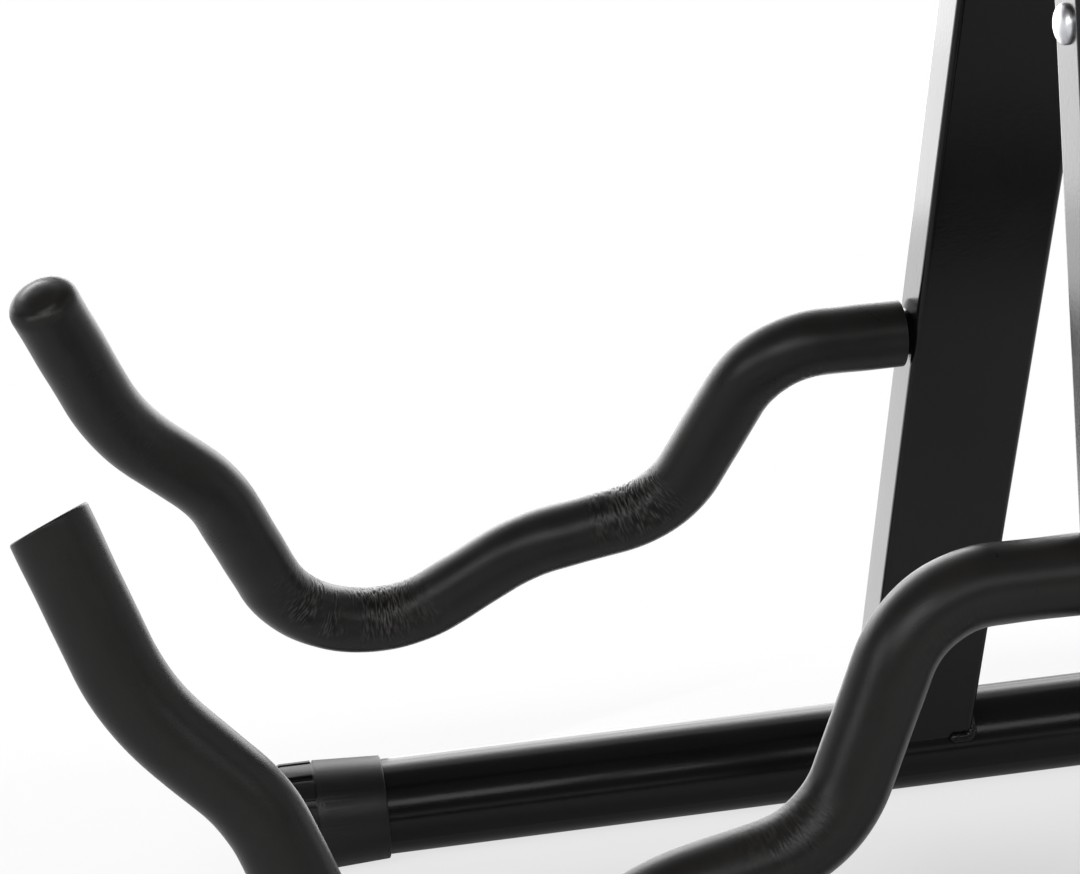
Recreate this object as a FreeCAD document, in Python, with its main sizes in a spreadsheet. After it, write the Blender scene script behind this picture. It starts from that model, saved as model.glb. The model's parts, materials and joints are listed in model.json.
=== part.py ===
import FreeCAD, Part
import math
import os
import Sketcher

# Folding A-frame guitar stand. Two flat side frames, each a leg, a foot tube and a foam-covered arm, lean
# against each other on a hinge at the top, and a hook bar behind the legs keeps them from spreading.
# Millimetres, +Z up, the floor at z = 0, the arms reach towards -Y, and the left frame lies at x < 0.

# Driving dimensions: alias, value, what it measures
DIMENSIONS = [
    ("lean", 15.4, "lean of each side frame from upright, degrees"),
    ("foot_half_spread", 122.1, "from the middle of the stand to a foot tube's axis"),
    ("leg_inset", 3, "leg's middle plane inside the foot tube's axis"),
    ("leg_width", 36, "leg tube, front to back"),
    ("leg_thick", 16, "leg tube, side to side"),
    ("leg_wall", 1.2, "leg tube wall"),
    ("leg_corner", 1.8, "leg tube outer corner radius"),
    ("leg_above_hinge", 14, "leg top above the hinge axis, along the leg"),
    ("foot_od", 30, "foot tube outer diameter"),
    ("foot_wall", 1.2, "foot tube wall"),
    ("foot_front", 181, "foot tube in front of the leg's front face"),
    ("foot_rear", 141, "foot tube behind the leg's front face"),
    ("weld_gap", 0.8, "fit-up gap between leg and foot tube"),
    ("leg_weld", 2, "weld bead at the leg's foot"),
    ("weld_reach", 9, "weld bead along the leg's sides, from its front or rear face"),
    ("cap_od", 34.5, "foot cap outer diameter at its front"),
    ("cap_mouth_od", 32.4, "foot cap outer diameter at its mouth"),
    ("cap_end", 4, "foot cap end wall"),
    ("cap_sleeve", 29, "foot cap sleeve along the tube"),
    ("cap_fit", 0.1, "radial room between tube and cap"),
    ("cap_round", 1.8, "foot cap front edge radius"),
    ("cap_lip", 0.5, "foot cap mouth edge radius"),
    ("sole_cut", 1, "depth of the flat sole under a foot cap"),
    ("slot_count", 12, "grip slots round a foot cap"),
    ("slot_width", 2.2, "grip slot width"),
    ("slot_depth", 1.2, "grip slot depth"),
    ("slot_length", 11, "grip slot length from the cap's front"),
    ("groove_width", 0.8, "groove round a foot cap behind its slots"),
    ("groove_depth", 0.6, "its depth"),
    ("rod_od", 10, "arm rod diameter"),
    ("foam_od", 19, "arm foam outer diameter"),
    ("foam_fit", 0.1, "radial room between rod and foam"),
    ("left_tip_round", 4, "left foam tip edge radius"),
    ("right_tip_round", 1, "right foam tip edge radius"),
    ("arm_weld", 1.8, "weld fillet at the rod's root"),
    ("foam_root_room", 0.2, "foam's root end clear of the weld"),
    ("arm_up", 173.2, "arm root above the foot axis, along the leg"),
    ("root_bend_out", 41.5, "bend at the arm root, in front of the leg"),
    ("root_bend_radius", 27, "its bend radius"),
    ("shelf_bend_out", 66, "bend into the rear shelf, in front of the leg"),
    ("shelf_bend_up", 117.4, "the same, above the foot axis"),
    ("shelf_bend_radius", 30, "its bend radius"),
    ("slope_bend_out", 108.5, "bend from the shelf into the slope"),
    ("slope_bend_up", 108.4, "the same, above the foot axis"),
    ("slope_bend_radius", 45, "its bend radius"),
    ("valley_bend_out", 168.5, "corner under the valley"),
    ("valley_bend_up", 67.1, "the same, above the foot axis"),
    ("valley_bend_radius", 33, "its bend radius"),
    ("front_bend_out", 196, "bend in the front rise"),
    ("front_bend_up", 142.6, "the same, above the foot axis"),
    ("front_bend_radius", 43, "its bend radius"),
    ("tip_bend_out", 220.5, "bend below the tip"),
    ("tip_bend_up", 168.6, "the same, above the foot axis"),
    ("tip_bend_radius", 60, "its bend radius"),
    ("rod_tip_run", 40, "rod end beyond the tip bend's corner"),
    ("left_tip_run", 51, "left foam tip beyond the same corner"),
    ("right_tip_run", 45.2, "right foam tip beyond the same corner"),
    ("tip_rise", 71.5, "rise of the tip, degrees"),
    ("plug_flange", 3, "top plug flange"),
    ("plug_insert", 12, "top plug depth in the leg"),
    ("plug_fit", 0.15, "room between plug and leg on each side"),
    ("plug_round", 1.2, "top plug flange edge radius"),
    ("pad_length", 52, "back pad along the leg"),
    ("pad_thick", 10, "back pad thickness"),
    ("pad_top_gap", 5, "leg left bare above the back pad"),
    ("pad_round", 3.5, "back pad edge radius"),
    ("hinge_offset", 21, "hinge axis from a side frame's middle plane"),
    ("ear_radius", 9.5, "hinge ears round the axis"),
    ("ear_thick", 4, "hinge fork ear"),
    ("hinge_web", 3, "hinge plate on the leg"),
    ("web_margin", 3.5, "hinge plate beyond the ears, up and down"),
    ("knuckle_width", 9.6, "hinge eye along the axis"),
    ("hinge_play", 0.1, "axial room on each face of a thrust washer"),
    ("thrust_thick", 1, "thrust washer thickness"),
    ("thrust_od", 16, "thrust washer diameter"),
    ("hinge_bolt_od", 8, "hinge bolt diameter"),
    ("hinge_hex", 13, "hinge bolt head and nut across flats"),
    ("hinge_head", 5.3, "hinge bolt head height"),
    ("hinge_nut_high", 6.5, "hinge nut height"),
    ("bush_od", 11, "hinge bush outer diameter"),
    ("running_fit", 0.06, "radial room of a turning joint"),
    ("bolt_fit", 0.15, "radial room of a bolt in its hole"),
    ("thread_end", 1.5, "bolt thread showing behind its nut"),
    ("stay_drop", 73.5, "stay bolts below the hinge axis, along the leg"),
    ("stay_bolt_od", 5, "stay and latch bolt diameter"),
    ("dome_od", 9.5, "domed bolt head diameter"),
    ("dome_high", 2.6, "domed bolt head height"),
    ("dome_round", 2.4, "domed bolt head edge radius"),
    ("stay_hex", 8, "stay nut across flats"),
    ("stay_nut_high", 5, "stay nut height"),
    ("stay_washer_thick", 1, "stay washer thickness"),
    ("stay_washer_od", 12, "stay washer diameter"),
    ("latch_washer_od", 15, "latch retaining washer diameter"),
    ("latch_od", 8, "latch sleeve diameter, which the hook catches"),
    ("bar_thick", 3, "hook bar thickness"),
    ("bar_width", 18, "hook bar width"),
    ("bar_play", 0.1, "axial room on each face of the hook bar"),
    ("hook_room", 0.4, "radial room between latch sleeve and hook"),
    ("hook_lip", 8, "hook lip width"),
    ("hook_drop", 7, "hook lip below the latch sleeve's axis"),
    ("hook_round", 3.5, "hook lip corner radius"),
]

# Worked out from them, as expressions of the sheet. Up is along the leg from the foot tube's axis.
FRAME_HALF_SPREAD = "(dims.foot_half_spread - dims.leg_inset * cos(dims.lean))"
HINGE_UP = f"({FRAME_HALF_SPREAD} - dims.hinge_offset * cos(dims.lean)) / sin(dims.lean)"
LEG_TOP = f"({HINGE_UP} + dims.leg_above_hinge)"
STAY_UP = f"({HINGE_UP} - dims.stay_drop)"
STAY_SPAN = f"(2 * ({FRAME_HALF_SPREAD} - {STAY_UP} * sin(dims.lean)))"
FOOT_AXIS_HIGH = "(dims.cap_od / 2 - dims.sole_cut)"
FRAME_HIGH = f"({FOOT_AXIS_HIGH} - dims.leg_inset * sin(dims.lean))"
FOAM_START = "(dims.arm_weld + dims.foam_root_room)"
FORK_SLOT = "(dims.knuckle_width + 2 * dims.thrust_thick + 4 * dims.hinge_play)"
FORK_WIDTH = f"({FORK_SLOT} + 2 * dims.ear_thick)"
MID_LEG = "(dims.leg_width / 2)"
BAR_FRONT = "(dims.leg_width + dims.stay_washer_thick + dims.bar_play)"
STAY_STACK = "(dims.stay_washer_thick + dims.bar_thick + 2 * dims.bar_play)"
NOTCH = "(dims.latch_od / 2 + dims.hook_room)"

# Sides of the stand, with the sign of a side frame's own X axis towards the middle
SIDES = {"left": 1, "right": -1}
# Where the hook's throat starts on the notch's circle: 45 degrees up, clear of the latch sleeve's way out
THROAT_ANGLE = 45
# Overshoot of a cut past the face that it opens
OVERCUT = 1
HEX_SIDES = 6
FULL_TURN = 360
# Points nearer than this are the same point, and a direction with this cosine to an axis runs along it
SAME_PLACE = 1e-3
ALONG_COSINE = 0.999
# A sketch's own origin, and its names for the points of a line, an arc or a circle
SKETCH_ORIGIN = (-1, 1)
START, END, CENTRE = range(1, 4)

doc = FreeCAD.newDocument("guitar_stand")
sheet = doc.addObject("Spreadsheet::Sheet", "dims")
for row, (alias, number, meaning) in enumerate(DIMENSIONS, 1):
    sheet.set(f"A{row}", meaning)
    sheet.set(f"B{row}", str(number))
    sheet.setAlias(f"B{row}", alias)
# The legs' front face from the middle of the stand's depth; set below, once the depth is known
SHIFT_CELL = f"B{len(DIMENSIONS) + 1}"
sheet.set(SHIFT_CELL, "0")
sheet.setAlias(SHIFT_CELL, "depth_shift")
doc.recompute()


def value(expression):
    """The number that an expression of the sheet gives now."""
    return float(sheet.evalExpression(expression))


def origin_feature(body, role):
    """One of a body's own origin planes or axes."""
    return next(feature for feature in body.Origin.OriginFeatures if feature.Role == role)


def new_body(label):
    """An empty sub-part."""
    body = doc.addObject("PartDesign::Body", label)
    body.Label = label
    return body


def new_sketch(body, role, across="0", up="0", out="0"):
    """A sketch on one of the body's origin planes, moved within that plane and along its normal."""
    sketch = body.newObject("Sketcher::SketchObject", f"{body.Name}_sketch")
    sketch.AttachmentSupport = [(origin_feature(body, role), "")]
    sketch.MapMode = "FlatFace"
    for axis, offset in (("x", across), ("y", up), ("z", out)):
        sketch.setExpression(f"AttachmentOffset.Base.{axis}", offset)
    return sketch


def tie(sketch, kind, points, expression):
    """Add a size to a sketch, bound to an expression of the sheet."""
    index = sketch.addConstraint(Sketcher.Constraint(kind, *points, value(expression)))
    sketch.renameConstraint(index, f"size_{index}")
    sketch.setExpression(f"Constraints.size_{index}", expression)


def tie_point(sketch, geometry, end, across, up):
    """Hold a sketch point at a place given by two expressions."""
    tie(sketch, "DistanceX", (*SKETCH_ORIGIN, geometry, end), across)
    tie(sketch, "DistanceY", (*SKETCH_ORIGIN, geometry, end), up)


def spot(across, up):
    """A sketch point as it stands now."""
    return FreeCAD.Vector(value(across), value(up), 0)


def draw_polygon(sketch, corners):
    """A closed outline of straight edges through corners given as pairs of expressions."""
    first = sketch.GeometryCount
    count = len(corners)
    points = [spot(*corner) for corner in corners]
    for index in range(count):
        sketch.addGeometry(Part.LineSegment(points[index], points[(index + 1) % count]), False)
    for index, corner in enumerate(corners):
        follower = first + (index + 1) % count
        sketch.addConstraint(Sketcher.Constraint("Coincident", first + index, END, follower, START))
        tie_point(sketch, first + index, START, *corner)


def draw_box(sketch, low, high):
    """A rectangle between two corners given as pairs of expressions."""
    draw_polygon(sketch, [low, (high[0], low[1]), high, (low[0], high[1])])


def draw_circle(sketch, across, up, radius):
    """A circle about a point, all as expressions."""
    circle = Part.Circle(spot(across, up), FreeCAD.Vector(0, 0, 1), value(radius))
    geometry = sketch.addGeometry(circle, False)
    tie_point(sketch, geometry, CENTRE, across, up)
    tie(sketch, "Radius", (geometry,), radius)


def draw_hexagon(sketch, across, up, flats):
    """A hexagon about a point, by its size across flats."""
    step = FULL_TURN / HEX_SIDES
    reach = f"{flats} / 2 / cos({step / 2})"
    corners = []
    for side in range(HEX_SIDES):
        corners.append((f"{across} + {reach} * cos({step * side})", f"{up} + {reach} * sin({step * side})"))
    draw_polygon(sketch, corners)


def pad(body, sketch, length, backwards=False, both_ways=False):
    """Raise a sketch into a solid, along the plane's normal, against it, or half each way."""
    feature = body.newObject("PartDesign::Pad", f"{body.Name}_pad")
    feature.Profile = sketch
    feature.Reversed = backwards
    feature.SideType = "Symmetric" if both_ways else "One side"
    feature.setExpression("Length", length)
    doc.recompute()
    return feature


def pocket(body, sketch, length=None, both_ways=False, backwards=False):
    """Cut a sketch into the solid to a length, or right through where none is given."""
    before = body.Shape.Volume
    feature = body.newObject("PartDesign::Pocket", f"{body.Name}_pocket")
    feature.Profile = sketch
    feature.Reversed = backwards
    feature.SideType = "Symmetric" if both_ways else "One side"
    if length is None:
        feature.Type = "ThroughAll"
    else:
        feature.setExpression("Length", length)
    doc.recompute()
    if body.Shape.Volume >= before:
        raise RuntimeError(f"{body.Label}: a cut removed nothing")
    return feature


def revolve(body, sketch, axis):
    """Turn a sketch once round one of its own axes."""
    feature = body.newObject("PartDesign::Revolution", f"{body.Name}_turned")
    feature.Profile = sketch
    feature.ReferenceAxis = (sketch, [axis])
    doc.recompute()
    return feature


def round_edges(body, radius, wanted):
    """Fillet the edges of the body that pass a test."""
    edges = body.Shape.Edges
    names = [f"Edge{number}" for number, edge in enumerate(edges, 1) if wanted(edge)]
    if not names:
        raise RuntimeError(f"{body.Label}: no edge to round")
    base = body.Tip
    feature = body.newObject("PartDesign::Fillet", f"{body.Name}_fillet")
    feature.Base = (base, names)
    feature.setExpression("Radius", radius)
    doc.recompute()
    return feature


def runs_along(axis):
    """A test for straight edges along one of the body's axes."""
    def wanted(edge):
        if edge.Curve.TypeId != "Part::GeomLine":
            return False
        return abs(getattr(edge.Curve.Direction, axis)) > ALONG_COSINE
    return wanted


def lies_at(axis, expression):
    """A test for edges that lie whole in a plane across one of the body's axes."""
    level = value(expression)

    def wanted(edge):
        ends = [getattr(edge.BoundBox, f"{axis}{limit}") for limit in ("Min", "Max")]
        return all(abs(end - level) < SAME_PLACE for end in ends)
    return wanted


def place(body, across, depth, high, axis=(0, 0, 1), turn="0"):
    """Put a sub-part in the stand, with its depth from the legs' front face."""
    body.Placement = FreeCAD.Placement(FreeCAD.Vector(), FreeCAD.Rotation(FreeCAD.Vector(*axis), 1))
    body.setExpression("Placement.Rotation.Angle", f"({turn}) * 1 deg")
    body.setExpression("Placement.Base.x", across)
    body.setExpression("Placement.Base.y", f"dims.depth_shift + {depth}")
    body.setExpression("Placement.Base.z", high)


def place_in_frame(body, side):
    """Put a sub-part of a side frame in its leaning plane: Z along the leg, Y to the rear."""
    across = f"{-SIDES[side]} * {FRAME_HALF_SPREAD}"
    place(body, across, "0", FRAME_HIGH, axis=(0, SIDES[side], 0), turn="dims.lean")


def tube_axis(side):
    """The foot tube's axis across a side frame, outside the leg's middle plane."""
    return f"{-SIDES[side]} * dims.leg_inset"


def make_leg(side):
    """Rectangular tube, fish-mouthed on the foot tube and drilled for its domed bolt."""
    leg = new_body(f"{side}_leg")
    outline = new_sketch(leg, "XY_Plane")
    draw_box(outline, ("-dims.leg_thick / 2", "0"), ("dims.leg_thick / 2", "dims.leg_width"))
    pad(leg, outline, LEG_TOP)
    round_edges(leg, "dims.leg_corner", runs_along("z"))
    hollow = new_sketch(leg, "XY_Plane")
    draw_box(hollow, ("-dims.leg_thick / 2 + dims.leg_wall", "dims.leg_wall"),
             ("dims.leg_thick / 2 - dims.leg_wall", "dims.leg_width - dims.leg_wall"))
    pocket(leg, hollow, both_ways=True)
    saddle = new_sketch(leg, "XZ_Plane")
    draw_circle(saddle, tube_axis(side), "0", "dims.foot_od / 2 + dims.weld_gap")
    pocket(leg, saddle, both_ways=True)
    drilling = new_sketch(leg, "XZ_Plane")
    draw_circle(drilling, "0", STAY_UP, "dims.stay_bolt_od / 2 + dims.bolt_fit")
    pocket(leg, drilling, both_ways=True)
    place_in_frame(leg, side)
    return leg


def make_foot_tube(side):
    """Round tube that runs front to back under the leg."""
    tube = new_body(f"{side}_foot_tube")
    section = new_sketch(tube, "XZ_Plane", out="-dims.foot_rear")
    draw_circle(section, tube_axis(side), "0", "dims.foot_od / 2")
    draw_circle(section, tube_axis(side), "0", "dims.foot_od / 2 - dims.foot_wall")
    pad(tube, section, "dims.foot_front + dims.foot_rear")
    place_in_frame(tube, side)
    return tube


def make_leg_weld(side):
    """Beads round the leg's front and rear, over the round of the foot tube."""
    weld = new_body(f"{side}_leg_weld")
    reach = "dims.foot_od / 2 + dims.leg_weld"
    outline = new_sketch(weld, "XY_Plane")
    draw_box(outline, ("-dims.leg_thick / 2 - dims.leg_weld", "-dims.leg_weld"),
             ("dims.leg_thick / 2 + dims.leg_weld", "dims.leg_width + dims.leg_weld"))
    pad(weld, outline, reach)
    round_edges(weld, "dims.leg_corner + dims.leg_weld", runs_along("z"))
    leg_room = new_sketch(weld, "XY_Plane")
    draw_box(leg_room, ("-dims.leg_thick / 2", "0"), ("dims.leg_thick / 2", "dims.leg_width"))
    pocket(weld, leg_room, both_ways=True)
    upright = runs_along("z")
    leg_side = value("dims.leg_thick / 2") + SAME_PLACE
    round_edges(weld, "dims.leg_corner", lambda edge: upright(edge) and abs(edge.CenterOfMass.x) < leg_side)
    tube_room = new_sketch(weld, "XZ_Plane")
    draw_circle(tube_room, tube_axis(side), "0", "dims.foot_od / 2")
    pocket(weld, tube_room, both_ways=True)
    crown = new_sketch(weld, "XZ_Plane")
    clear = f"({reach} + dims.leg_inset + {OVERCUT})"
    draw_box(crown, (f"-{clear}", f"-{clear}"), (clear, clear))
    draw_circle(crown, tube_axis(side), "0", reach)
    pocket(weld, crown, both_ways=True)
    bare_side = new_sketch(weld, "XY_Plane")
    draw_box(bare_side, (f"-{clear}", "dims.weld_reach"), (clear, "dims.leg_width - dims.weld_reach"))
    pocket(weld, bare_side, both_ways=True)
    place_in_frame(weld, side)
    return weld


def bend_points(before, corner, after, radius):
    """Centre of a bend at a corner, and where its arc leaves one run and joins the next."""
    back = (before - corner).normalize()
    ahead = (after - corner).normalize()
    half = back.getAngle(ahead) / 2
    tangent = radius / math.tan(half)
    centre = corner + (back + ahead).normalize() * (radius / math.sin(half))
    return centre, corner + back * tangent, corner + ahead * tangent


def arm_end(run):
    """A point of the arm's last run, beyond the tip bend's corner."""
    return (f"-dims.tip_bend_out - ({run}) * cos(dims.tip_rise)",
            f"dims.tip_bend_up + ({run}) * sin(dims.tip_rise)")


def draw_arm_path(sketch, start, tip):
    """The arm's centre line: straight runs joined by tangent bends, in the plane of the side frame."""
    names = ("root", "shelf", "slope", "valley", "front", "tip")
    corners = []
    for name in names:
        up = "dims.arm_up" if name == "root" else f"dims.{name}_bend_up"
        corners.append((f"-dims.{name}_bend_out", up))
    root = (f"-({start})", "dims.arm_up")
    end = arm_end(tip)
    points = [spot(*point) for point in [root, *corners, end]]
    run_starts = [points[0]]
    run_ends = []
    arcs = []
    for index, name in enumerate(names, 1):
        radius = value(f"dims.{name}_bend_radius")
        centre, leaves, joins = bend_points(points[index - 1], points[index], points[index + 1], radius)
        run_ends.append(leaves)
        run_starts.append(joins)
        crest = centre + (points[index] - centre).normalize() * radius
        arcs.append(Part.Arc(leaves, crest, joins))
    run_ends.append(points[-1])
    runs = [sketch.addGeometry(Part.LineSegment(*pair), False) for pair in zip(run_starts, run_ends)]
    for index, (name, corner) in enumerate(zip(names, corners)):
        bend = sketch.addGeometry(arcs[index], False)
        # An arc is kept anticlockwise, so which of its ends meets the earlier run depends on its turn
        meets = sketch.getPoint(bend, START).distanceToPoint(run_ends[index]) < SAME_PLACE
        first, second = (START, END) if meets else (END, START)
        sketch.addConstraint(Sketcher.Constraint("Tangent", runs[index], END, bend, first))
        sketch.addConstraint(Sketcher.Constraint("Tangent", runs[index + 1], START, bend, second))
        tie(sketch, "Radius", (bend,), f"dims.{name}_bend_radius")
        mark = sketch.addGeometry(Part.Point(points[index + 1]), True)
        sketch.addConstraint(Sketcher.Constraint("PointOnObject", mark, START, runs[index]))
        sketch.addConstraint(Sketcher.Constraint("PointOnObject", mark, START, runs[index + 1]))
        tie_point(sketch, mark, START, *corner)
    tie_point(sketch, runs[0], START, *root)
    tie_point(sketch, runs[-1], END, *end)


def sweep_arm(body, kind, radius, start, tip):
    """Sweep a round section along the arm's centre line, as solid or as a bore."""
    path = new_sketch(body, "YZ_Plane")
    draw_arm_path(path, start, tip)
    section = new_sketch(body, "XZ_Plane", out=start)
    draw_circle(section, "0", "dims.arm_up", radius)
    doc.recompute()
    feature = body.newObject(f"PartDesign::{kind}", f"{body.Name}_sweep")
    feature.Profile = section
    feature.Spine = (path, [])
    doc.recompute()
    return feature


def make_arm_rod(side):
    """Bent steel bar that stands on the leg's front face and carries the foam."""
    rod = new_body(f"{side}_arm_rod")
    sweep_arm(rod, "AdditivePipe", "dims.rod_od / 2", "0", "dims.rod_tip_run")
    place_in_frame(rod, side)
    return rod


def make_arm_weld(side):
    """Ring of weld between the rod's root and the leg."""
    weld = new_body(f"{side}_arm_weld")
    section = new_sketch(weld, "YZ_Plane", up="dims.arm_up")
    draw_polygon(section, [("0", "dims.rod_od / 2"), ("-dims.arm_weld", "dims.rod_od / 2"),
                           ("0", "dims.rod_od / 2 + dims.arm_weld")])
    revolve(weld, section, "H_Axis")
    place_in_frame(weld, side)
    return weld


def make_arm_foam(side):
    """Foam sleeve over the rod, with a closed, rounded tip."""
    foam = new_body(f"{side}_arm_foam")
    tip_run = f"dims.{side}_tip_run"
    sweep_arm(foam, "AdditivePipe", "dims.foam_od / 2", FOAM_START, tip_run)
    tip = FreeCAD.Vector(0, *[value(place) for place in arm_end(tip_run)])

    def tip_rim(edge):
        return edge.CenterOfMass.distanceToPoint(tip) < SAME_PLACE
    round_edges(foam, f"dims.{side}_tip_round", tip_rim)
    before = foam.Shape.Volume
    bore_end = "dims.rod_tip_run + dims.foam_fit"
    sweep_arm(foam, "SubtractivePipe", "dims.rod_od / 2 + dims.foam_fit", FOAM_START, bore_end)
    if foam.Shape.Volume >= before:
        raise RuntimeError(f"{foam.Label}: the bore removed nothing")
    place_in_frame(foam, side)
    return foam


def make_cap(side, end):
    """Rubber cap on a foot tube's end: tapered sleeve, grip slots in front of a groove, and a flat sole."""
    cap = new_body(f"{side}_{end}_cap")
    outer = "dims.cap_od / 2"
    mouth_outer = "dims.cap_mouth_od / 2"
    inner = "dims.foot_od / 2 + dims.cap_fit"
    groove_front = "dims.slot_length - dims.cap_end"
    groove_rear = f"{groove_front} + dims.groove_width"
    groove_floor = f"{outer} - dims.groove_depth"
    section = new_sketch(cap, "YZ_Plane")
    draw_polygon(section, [("-dims.cap_end", "0"), ("-dims.cap_end", outer), (groove_front, outer),
                           (groove_front, groove_floor), (groove_rear, groove_floor), (groove_rear, outer),
                           ("dims.cap_sleeve", mouth_outer), ("dims.cap_sleeve", inner), ("0", inner),
                           ("0", "0")])
    revolve(cap, section, "H_Axis")
    round_edges(cap, "dims.cap_round", lies_at("Y", "-dims.cap_end"))
    mouth = lies_at("Y", "dims.cap_sleeve")
    rim = value(mouth_outer) - SAME_PLACE
    round_edges(cap, "dims.cap_lip", lambda edge: mouth(edge) and edge.BoundBox.ZMax > rim)
    slot = new_sketch(cap, "XZ_Plane", out="dims.cap_end")
    # The slots lie to either side of the cap's top, half a step from it
    slot.setExpression("AttachmentOffset.Rotation.Angle", f"{FULL_TURN} / 2 / dims.slot_count * 1 deg")
    draw_box(slot, ("-dims.slot_width / 2", f"{outer} - dims.slot_depth"),
             ("dims.slot_width / 2", f"{outer} + {OVERCUT}"))
    first_slot = pocket(cap, slot, "dims.slot_length")
    slots = cap.newObject("PartDesign::PolarPattern", f"{cap.Name}_slots")
    slots.Originals = [first_slot]
    slots.Axis = (origin_feature(cap, "Y_Axis"), [""])
    slots.Angle = FULL_TURN
    slots.setExpression("Occurrences", "dims.slot_count")
    cap.Tip = slots
    doc.recompute()
    sole = new_sketch(cap, "XZ_Plane")
    draw_box(sole, (f"-{outer} - {OVERCUT}", f"-{outer} - {OVERCUT}"),
             (f"{outer} + {OVERCUT}", f"dims.sole_cut - {outer}"))
    pocket(cap, sole, both_ways=True)
    across = f"{-SIDES[side]} * dims.foot_half_spread"
    if end == "front":
        place(cap, across, "-dims.foot_front", FOOT_AXIS_HIGH)
    else:
        place(cap, across, "dims.foot_rear", FOOT_AXIS_HIGH, turn=f"{FULL_TURN / 2}")
    return cap


def make_top_plug(side):
    """Plastic plug with a flange on the leg's top end."""
    plug = new_body(f"{side}_top_plug")
    flange = new_sketch(plug, "XY_Plane", out=LEG_TOP)
    draw_box(flange, ("-dims.leg_thick / 2", "0"), ("dims.leg_thick / 2", "dims.leg_width"))
    pad(plug, flange, "dims.plug_flange")
    round_edges(plug, "dims.leg_corner", runs_along("z"))
    round_edges(plug, "dims.plug_round", lies_at("Z", f"{LEG_TOP} + dims.plug_flange"))
    inset = "(dims.leg_wall + dims.plug_fit)"
    insert = new_sketch(plug, "XY_Plane", out=LEG_TOP)
    draw_box(insert, (f"{inset} - dims.leg_thick / 2", inset),
             (f"dims.leg_thick / 2 - {inset}", f"dims.leg_width - {inset}"))
    pad(plug, insert, "dims.plug_insert", backwards=True)
    place_in_frame(plug, side)
    return plug


def make_back_pad(side):
    """Foam pad on the leg's front face, where the guitar's back leans."""
    cushion = new_body(f"{side}_back_pad")
    high = f"({LEG_TOP} - dims.pad_top_gap)"
    outline = new_sketch(cushion, "XZ_Plane")
    draw_box(outline, ("-dims.leg_thick / 2", f"{high} - dims.pad_length"), ("dims.leg_thick / 2", high))
    pad(cushion, outline, "dims.pad_thick")
    round_edges(cushion, "dims.pad_round", runs_along("y"))
    round_edges(cushion, "dims.pad_round", lies_at("Y", "-dims.pad_thick"))
    place_in_frame(cushion, side)
    return cushion


def add_hinge_plate(body, inwards, width):
    """The hinge's plate on the leg's inner face, level with its axis."""
    plate = new_sketch(body, "XZ_Plane", out=f"-{MID_LEG}")
    reach = "(dims.ear_radius + dims.web_margin)"
    draw_box(plate, (f"{inwards} * dims.leg_thick / 2", f"{HINGE_UP} - {reach}"),
             (f"{inwards} * (dims.leg_thick / 2 + dims.hinge_web)", f"{HINGE_UP} + {reach}"))
    pad(body, plate, width, both_ways=True)


def add_hinge_ear(body, inwards, width):
    """A round-ended ear from the plate to the hinge axis."""
    axis = f"{inwards} * dims.hinge_offset"
    neck = new_sketch(body, "XZ_Plane", out=f"-{MID_LEG}")
    draw_box(neck, (f"{inwards} * dims.leg_thick / 2", f"{HINGE_UP} - dims.ear_radius"),
             (axis, f"{HINGE_UP} + dims.ear_radius"))
    pad(body, neck, width, both_ways=True)
    eye = new_sketch(body, "XZ_Plane", out=f"-{MID_LEG}")
    draw_circle(eye, axis, HINGE_UP, "dims.ear_radius")
    pad(body, eye, width, both_ways=True)


def bore_hinge(body, inwards, radius):
    """A hole along the hinge axis."""
    hole = new_sketch(body, "XZ_Plane", out=f"-{MID_LEG}")
    draw_circle(hole, f"{inwards} * dims.hinge_offset", HINGE_UP, radius)
    pocket(body, hole, both_ways=True)


def make_hinge_fork():
    """Two ears on a plate, welded to the left leg."""
    inwards = SIDES["left"]
    fork = new_body("hinge_fork")
    add_hinge_plate(fork, inwards, FORK_WIDTH)
    add_hinge_ear(fork, inwards, FORK_WIDTH)
    gap = new_sketch(fork, "XZ_Plane", out=f"-{MID_LEG}")
    draw_box(gap, (f"{inwards} * (dims.leg_thick / 2 + dims.hinge_web)",
                   f"{HINGE_UP} - dims.ear_radius - {OVERCUT}"),
             (f"{inwards} * (dims.hinge_offset + dims.ear_radius + {OVERCUT})",
              f"{HINGE_UP} + dims.ear_radius + {OVERCUT}"))
    pocket(fork, gap, FORK_SLOT, both_ways=True)
    bore_hinge(fork, inwards, "dims.hinge_bolt_od / 2 + dims.bolt_fit")
    place_in_frame(fork, "left")
    return fork


def make_hinge_eye():
    """One wide ear on a plate, welded to the right leg, between the fork's ears."""
    inwards = SIDES["right"]
    eye = new_body("hinge_eye")
    add_hinge_plate(eye, inwards, FORK_WIDTH)
    add_hinge_ear(eye, inwards, "dims.knuckle_width")
    bore_hinge(eye, inwards, "dims.bush_od / 2")
    place_in_frame(eye, "right")
    return eye


def make_hinge_bush():
    """Plain bush pressed into the eye, which turns on the bolt."""
    inwards = SIDES["right"]
    bush = new_body("hinge_bush")
    axis = f"{inwards} * dims.hinge_offset"
    ring = new_sketch(bush, "XZ_Plane", out=f"-{MID_LEG}")
    draw_circle(ring, axis, HINGE_UP, "dims.bush_od / 2")
    draw_circle(ring, axis, HINGE_UP, "dims.hinge_bolt_od / 2 + dims.running_fit")
    pad(bush, ring, "dims.knuckle_width", both_ways=True)
    place_in_frame(bush, "right")
    return bush


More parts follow.
